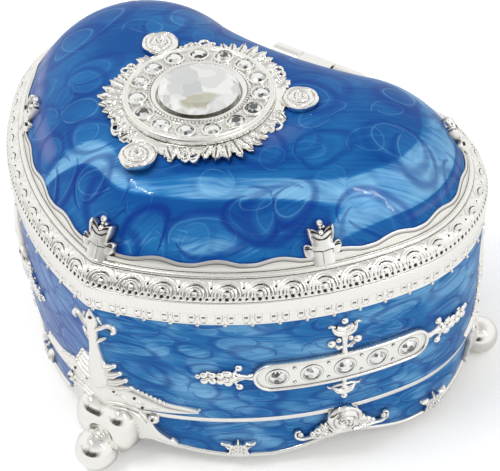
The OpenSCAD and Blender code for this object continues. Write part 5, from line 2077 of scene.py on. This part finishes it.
@dataclass
class Medallion(SubAssembly):
    """The medallion: a wreath, a stippled ring of fifteen stones and one large crystal."""

    y: float = 13.0
    z: float = 66.7755
    wreath: float = 0.65
    front_bend: float = 0.45
    ring_thickness: float = 1.2
    crystal_radius: float = 7.9
    crystal_height: float = 2.6
    crystal_seat: float = 0.7
    circle: float = 11.9
    stones: int = 15
    stone_radius: float = 1.6
    rose_circle: float = 19.3
    rose_radius: float = 3.5
    grains: int = 230
    ribs: int = 84

    def place(self, part: MeshPart, up: float = 0.0) -> MeshPart:
        """Moves a part from the medallion's own axis to the lid."""
        at = np.array([0, self.outline.centre_y - self.y, self.z + up])
        return MeshPart().merge(part, lambda p: p + at)

    def wreath_relief(self) -> Relief:
        """Draws the wreath: three roses, three fans of leaves, curls and a leafy edge."""
        relief = Relief()
        relief.SINK = -0.35
        relief.merge(turned([(16.6, -0.35), (16.9, 0.1), (16.7, 0.42), (15.3, 0.5), (12, 0.65)],
            96))

        def polar(radius: float, turn: float) -> tuple[float, float]:
            """Gives the place at a radius and a turn in degrees."""
            a = radians(turn)
            return radius * cos(a), radius * sin(a)

        for i in range(60):
            turn = 6.0 * i + 3
            away = abs((turn - 30 + 60) % 120 - 60)
            if away > 12:
                long = 2.6 + 0.9 * sin(i * 2.4)
                relief.leaf(*polar(14.9, turn), turn + 30 * cos(i * 1.7), long, 1.7, 0.85, lobes=2)
            if away > 14 and i % 4 == 1:
                relief.scroll(*polar(17.4, turn), 0.95, turn + 90, 250, 0.5, 1.1)
        for i in range(3):
            turn = 30 + 120 * i
            x, y = polar(self.rose_circle, turn)
            relief.rose(x, y, self.rose_radius, 1.7, turn)
            relief.stroke([(*polar(14, turn), 4.2), (*polar(18, turn), 4.6)], 0.45)
            for s in (1, -1):
                relief.leaf(*polar(15.2, turn + 13 * s), turn + 50 * s, 3.6, 2.4, 1.1)
                relief.leaf(*polar(15, turn + 18 * s), turn + 28 * s, 2.6, 1.8, 0.95)
                relief.scroll(*polar(17.2, turn + 27 * s), 1.25, turn + 180 * (s < 0) - 90 * s,
                    -280 * s, 0.6, 1.2)
            fan = turn + 60
            for k in range(-3, 4):
                relief.leaf(*polar(14.6, fan + 5.2 * k), fan + 15 * k, 5.2 - 0.45 * abs(k), 2.2,
                    1.15)
            for s in (1, -1):
                relief.scroll(*polar(17.1, fan + 27 * s), 1.1, fan + 180 * (s < 0) - 90 * s,
                    -270 * s, 0.55, 1.2)
        return relief

    def ring(self) -> MeshPart:
        """Turns the ring plate: sloped wall, two rim lines, stippled field and bezel."""
        top = self.ring_thickness
        rim = [(9.2, 0), (14.8, 0), (14.7, top - 0.2), (14.5, top + 0.02), (14.32, top + 0.06),
            (14.16, top - 0.1), (14, top - 0.1), (13.86, top + 0.04), (13.66, top + 0.04),
            (13.5, top - 0.12)]
        field_z = top - 0.2
        rows = [(r, z, 0) for r, z in rim]
        rows += [(r, field_z, 0.075) for r in np.linspace(13.35, 10.35, 15)]
        rows += [(10.2, top - 0.15, 0), (10.05, top + 0, 0), (9.9, top - 0.1, 0),
            (9.35, top - 0.1, 0), (9.2, top + 0.25, 0), (8.95, top + 0.32, 0), (8.6, top + 0.2, 0),
            (8.05, top - 0.15, 0), (7.95, top - self.crystal_seat, 0),
            (5, top - self.crystal_seat, 0), (5, 0, 0)]
        points, dark = [], []
        n = self.grains
        for k, (r, z, rough) in enumerate(rows):
            for i in range(n):
                chance = (sin(12.9898 * i + 78.233 * k) * 43758.5453) % 1.0
                a = FULL_TURN * i / n
                points.append((r * cos(a), r * sin(a), z + rough * (2 * chance - 1)))
                # The lower grains of the stippled field take more painted shade.
                dark.append(0.45 * (1 - chance) if rough else 0.0)
        faces = [(k * n + i, (k + 1) % len(rows) * n + i, (k + 1) % len(rows) * n + (i + 1) % n,
            k * n + (i + 1) % n) for k in range(len(rows)) for i in range(n)]
        return MeshPart().add(np.array(points), [f[::-1] for f in faces], np.array(dark))

    def build(self) -> None:
        """Builds and dresses the medallion."""
        plate, crystal = self.finishes.plate, self.finishes.crystal
        posts = MeshPart()
        for i in range(3):
            a = radians(30 + 120 * i)
            posts.merge(turned([(1, -4.2), (1, 0)], 16),
                lambda p, a=a: p + [8 * cos(a), 8 * sin(a), 0])
        relief = MeshPart().merge(self.wreath_relief(),
            lambda p: p - np.outer(self.front_bend * np.clip(-p[:, 1] - 14.8, 0, 2.6), [0, 0, 1]))
        wreath = self.place(relief).merge(self.place(posts))
        self.keep(wreath.build("wreath_casting", self.finishes.polished, 50), "lid", Slot.POLISHED,
            "medallion_wreath")
        ring = self.place(self.ring(), self.wreath)
        bezel = turned([(1.55, 0.7), (2.05, 0.9), (2.05, 1.36), (1.92, 1.5), (1.74, 1.46),
            (1.62, 1.2), (1.6, 0.7)], 24)
        rope = turned([(0, -0.34), (0.2, -0.28), (0.3, 0), (0.2, 0.28), (0, 0.34)], 6)
        stone = brilliant(self.stone_radius, 1.25, 0.85)
        stones = MeshPart()
        for i in range(self.stones):
            a = FULL_TURN * (i + 0.25) / self.stones
            at = [self.circle * cos(a), self.circle * sin(a), 0.0]
            ring.merge(self.place(MeshPart().merge(bezel, lambda p, at=at: p + at), self.wreath))
            c, s = cos(i * 1.3), sin(i * 1.3)
            spun = MeshPart().merge(stone, lambda p, c=c, s=s, at=at: np.column_stack([p[:, 0] * c
                - p[:, 1] * s, p[:, 0] * s + p[:, 1] * c, p[:, 2]]) + at)
            stones.merge(self.place(spun, self.wreath + 0.42))
        for i in range(self.ribs):
            a = FULL_TURN * i / self.ribs
            c, s = cos(a), sin(a)
            ring.merge(self.place(MeshPart().merge(rope,
                lambda p, c=c, s=s: np.column_stack([c * (9.62 + p[:, 2]) - s * p[:, 0],
                s * (9.62 + p[:, 2]) + c * p[:, 0], p[:, 1] + self.ring_thickness - 0.02])),
                self.wreath))
        self.keep(ring.build("ring_plate_casting", plate, 40), "lid", Slot.PLATE, "medallion_ring")
        self.keep(cut_facets(stones.build("ring_stones", crystal, 2)), "lid", Slot.CRYSTAL,
            "ring_crystals")
        big = brilliant(self.crystal_radius - 0.08, self.crystal_height, 6.1, 16)
        big = self.place(big, self.wreath + self.ring_thickness - self.crystal_seat)
        self.keep(cut_facets(big.build("large_crystal", self.finishes.large_crystal, 2)), "lid",
            Slot.CRYSTAL, "centre_crystal")


@dataclass
class Linings(SubAssembly):
    """Velvet inside the box: a padded floor, and flocked cloth on the wall and in the lid."""

    inner_inset: float = 4.4
    floor_top: float = 10.5
    lining_top: float = 47.475
    cloth: float = 1.0
    pad_thickness: float = 2.0
    pad_voxel: float = 1.4
    pad_cap: float = 0.55
    lid_cloth: float = 0.8

    def pad_blank(self) -> MeshPart:
        """Makes the pad before it swells, slightly smaller than its place."""
        low, high = self.floor_top + 0.35, self.floor_top + self.pad_thickness - 0.45
        side = self.inner_inset + self.cloth + 0.55
        return sweep(self.outline, filleted([(side + 4, low, 0), (side, low, 0.5),
            (side, high, 0.6), (side + 4, high, 0)], 4))

    def swell(self, pad: bpy.types.Object) -> None:
        """Blows the pad up as cloth, and holds every point near its start.

        Args:
            pad: The pad's blank.
        """
        scene = bpy.context.scene
        remesh = pad.modifiers.new("even_mesh", "REMESH")
        remesh.mode = "VOXEL"
        remesh.voxel_size = self.pad_voxel * MM
        even = settled(pad)
        pad.modifiers.clear()
        pad.data = even
        start = np.empty(len(even.vertices) * 3)
        even.vertices.foreach_get("co", start)
        cloth = pad.modifiers.new("velvet", "CLOTH")
        cloth.settings.use_pressure = True
        cloth.settings.uniform_pressure_force = 4.0
        cloth.settings.effector_weights.gravity = 0.0
        cloth.point_cache.frame_start, cloth.point_cache.frame_end = 1, 20
        for frame_number in range(1, 21):
            scene.frame_set(frame_number)
        blown = settled(pad)
        final = np.empty(len(blown.vertices) * 3)
        blown.vertices.foreach_get("co", final)
        final = final.reshape(-1, 3)
        pad.modifiers.clear()
        scene.frame_set(1)
        home = start.reshape(-1, 3)
        move = final - home
        reach = np.linalg.norm(move, axis=1)[:, None]
        move *= np.minimum(1.0, self.pad_cap * MM / np.maximum(reach, 1e-9))
        done = home + move
        done[:, 2] = np.maximum(done[:, 2], (self.floor_top + 0.03) * MM)
        pad.data.vertices.foreach_set("co", done.ravel())
        pad.data.update()
        smooth = pad.modifiers.new("soft", "SUBSURF")
        smooth.levels = smooth.render_levels = 1
        pad.data = settled(pad)
        pad.modifiers.clear()
        pad.data.polygons.foreach_set("use_smooth", [True] * len(pad.data.polygons))

    def build(self) -> None:
        """Builds and dresses the linings."""
        velvet, inset = self.finishes.velvet, self.inner_inset
        wall = filleted([(inset + 0.03, self.floor_top + 0.05, 0),
            (inset + 0.03, self.lining_top, 0), (inset + self.cloth * 0.8, self.lining_top, 0.35),
            (inset + self.cloth * 0.8, self.floor_top + 0.05, 0)])
        strip = sweep(self.outline, wall, closed=True).build("wall_velvet", velvet)
        self.keep(strip, "body", Slot.VELVET, "wall_lining")
        self.outline.length(inset) * MM
        ceiling = [(7.9, 50.9), (9.25, 53), (11.35, 55.8), (13.86, 58.4), (16.7, 60.6),
            (19.8, 62.2), (23.1, 63.3), (26.6, 64)]
        over = [(d + 0.03, z - 0.03) for d, z in ceiling]
        under = [(d + 0.45, z - 0.6) for d, z in ceiling]
        under[-1] = (26.6, 64.0 - self.lid_cloth)
        dome = sweep(self.outline, [*reversed(under), (8, 50.55), *over])
        cloth = dome.build("lid_velvet", velvet, crease=50)
        self.keep(cloth, "lid", Slot.VELVET, "lid_lining_velvet")
        pad = self.pad_blank().build("floor_cushion", velvet)
        self.swell(pad)
        pad.data.materials.clear()
        pad.data.materials.append(velvet)
        self.keep(pad, "body", Slot.VELVET, "floor_pad")


@dataclass
class Hardware(SubAssembly):
    """Small steel parts that keep the shapes of their solids."""

    nodes: tuple[str, ...] = ("hinge_pin", "leg_screws", "medallion_nuts")

    def build(self, nodes: dict[str, bpy.types.Object]) -> None:
        """Gives the carried-over solids their steel.

        Args:
            nodes: CAD nodes by name.
        """
        for name in self.nodes:
            for slot in nodes[name].material_slots:
                slot.material = self.finishes.steel
            LOG.info("%s: kept, in steel", name)


@dataclass
class Studio:
    """Pale floor, white surroundings, soft lamps and the camera."""

    outline: HeartOutline
    azimuth: float = 36.57
    elevation: float = 42.78
    roll: float = -0.04546
    distance: float = 317.75
    target: tuple[float, float, float] = (7.617, -8.996, 31.8)
    lens: float = 110.83
    world_light: float = 0.6
    overhead: float = 0.6
    floor_colour: str = "#fafaf9"
    floor_glow: float = 0.22
    dark_way: tuple[float, float] = (-80.0, 11.0)
    dark_reach: tuple[float, float] = (0.92, 1.6)
    dark_light: float = 0.08

    def camera(self) -> None:
        """Adds the camera."""
        az, el = radians(self.azimuth), radians(self.elevation)
        back = Vector((sin(az) * cos(el), -cos(az) * cos(el), sin(el)))
        right = (-back).cross(Vector((0, 0, 1))).normalized()
        up = right.cross(-back)
        turned_right = cos(self.roll) * right + sin(self.roll) * up
        turned_up = -sin(self.roll) * right + cos(self.roll) * up
        aim = Vector(self.target) + Vector((0, self.outline.centre_y, 0))
        data = bpy.data.cameras.new("camera")
        data.sensor_fit, data.sensor_width, data.lens = "HORIZONTAL", 36.0, self.lens
        data.clip_start, data.clip_end = 0.01, 20.0
        eye = add_object("camera", data)
        axes = Matrix((turned_right, turned_up, back)).transposed().to_4x4()
        eye.matrix_world = Matrix.Translation((aim + back * self.distance) * MM) @ axes
        bpy.context.scene.camera = eye

    def floor(self) -> None:
        """Adds the plain pale floor."""
        mesh = bpy.data.meshes.new("floor")
        half = 6.0
        mesh.from_pydata([(-half, -half, 0), (half, -half, 0), (half, half, 0), (-half, half, 0)],
            [], [(0, 1, 2, 3)])
        # The board's fibres are finer than shows; the eye gets an even matt white.
        material, add = new_material("matt white studio board")
        grain = add("TexNoise", {"Vector": add("TexCoord").outputs["Object"], "Scale": 900})
        rough = add("MapRange", grain, 0.0, 1.0, 0.75, 0.9)
        glow = add("Math", add("LightPath").outputs["Is Camera Ray"], self.floor_glow,
            operation="MULTIPLY")
        finish_shader(add, Base_Color=self.floor_colour, Roughness=rough,
            Emission_Color=(1, 1, 1, 1), Emission_Strength=glow)
        mesh.materials.append(material)
        add_object("floor", mesh)

    def world(self) -> None:
        """Surrounds the box with white that greys a little overhead."""
        world = bpy.data.worlds.new("studio")
        world.use_nodes = True
        tree = world.node_tree
        tree.nodes.clear()
        add = partial(add_node, tree)
        path = add("LightPath")
        mirrored = add("Math", path.outputs["Is Glossy Ray"], path.outputs["Is Transmission Ray"],
            operation="MAXIMUM")
        way = add("SeparateXYZ", add("TexCoord").outputs["Generated"])
        overhead = add("MapRange", way.outputs["Z"], 0.6, 1.0, 1.0, self.overhead)
        az, el = (radians(a) for a in self.dark_way)
        away = add("VectorMath", add("TexCoord").outputs["Generated"],
            (cos(az) * cos(el), sin(az) * cos(el), sin(el)), operation="SUBTRACT")
        away = add("VectorMath", add("VectorMath", away, (1, 1, 2.2), operation="MULTIPLY"),
            operation="LENGTH")
        clutter = add("TexNoise", {"Vector": add("TexCoord").outputs["Generated"], "Scale": 3.2,
            "Detail": 2})
        away = add("Math", clutter, 1.1, away, operation="MULTIPLY_ADD")
        screen = add("MapRange", away, self.dark_reach[0], self.dark_reach[1], self.dark_light, 1.0)
        gloss = add("Math", overhead, screen, operation="MULTIPLY")
        shown = add("Mix", {"Factor": mirrored, 2: self.world_light, 3: gloss})
        strength = add("Mix", {"Factor": path.outputs["Is Camera Ray"], 2: shown, 3: 1})
        sky = add("Background", {"Color": (1, 1, 1, 1), "Strength": strength})
        add("OutputWorld", {"Surface": sky})
        bpy.context.scene.world = world

    def lamps(self) -> None:
        """Adds a soft sun, kept out of the gloss, and two thin tubes that the gloss mirrors."""
        sun = bpy.data.lights.new("soft_sun", "SUN")
        sun.energy, sun.angle = 0.85, radians(40)
        self._hang(sun, 126.0 + 90.0, 63.0).visible_glossy = False
        for name, az, el, long, upright in (("tube_left", -122, 61, 0.21, False),
                ("tube_right", -2.6, 38, 0.32, True)):
            lamp = bpy.data.lights.new(name, "AREA")
            lamp.shape, lamp.energy = "RECTANGLE", 0.5
            lamp.size, lamp.size_y = (0.006, long) if upright else (long, 0.006)
            self._hang(lamp, az, el)

    @staticmethod
    def _hang(lamp: bpy.types.Light, azimuth: float, elevation: float) -> bpy.types.Object:
        """Hangs a lamp 0.6 m from the box and aims it there.

        Args:
            lamp: The lamp.
            azimuth: Degrees from +X.
            elevation: Degrees over the floor.

        Returns:
            The lamp's object.
        """
        holder = add_object(lamp.name, lamp)
        az, el = radians(azimuth), radians(elevation)
        away = Vector((cos(az) * cos(el), sin(az) * cos(el), sin(el)))
        side = Vector((-sin(az), cos(az), 0))
        axes = Matrix((side, away.cross(side), away)).transposed().to_4x4()
        holder.matrix_world = Matrix.Translation(away * 0.6 + Vector((0, 0, 0.05))) @ axes
        return holder

    def build(self) -> None:
        """Sets up the whole studio."""
        self.camera()
        self.floor()
        self.world()
        self.lamps()
        bpy.context.scene.view_settings.view_transform = "Standard"


def main() -> None:
    """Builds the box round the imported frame."""
    logging.basicConfig(level=logging.INFO, format="%(name)s %(message)s")
    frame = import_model()
    hinge = next(j for j in frame["record"]["behaviour"]["joints"] if j["name"] == "lid_hinge")
    outline = HeartOutline(hinge_y=hinge["pos_m"][1] / MM)
    Studio(outline).build()
    finishes = Finishes()
    rows = TileRow(outline, Lid.ovolo_width)
    BodyCasting(outline, finishes).build(rows)
    Lid(outline, finishes).build(rows)
    for kind in (Plaques, SkirtOrnaments, Legs, LidCrowns, Medallion, Linings):
        kind(outline, finishes).build()
    Hardware(outline, finishes).build(frame["nodes"])


if __name__ == "__main__":
    main()
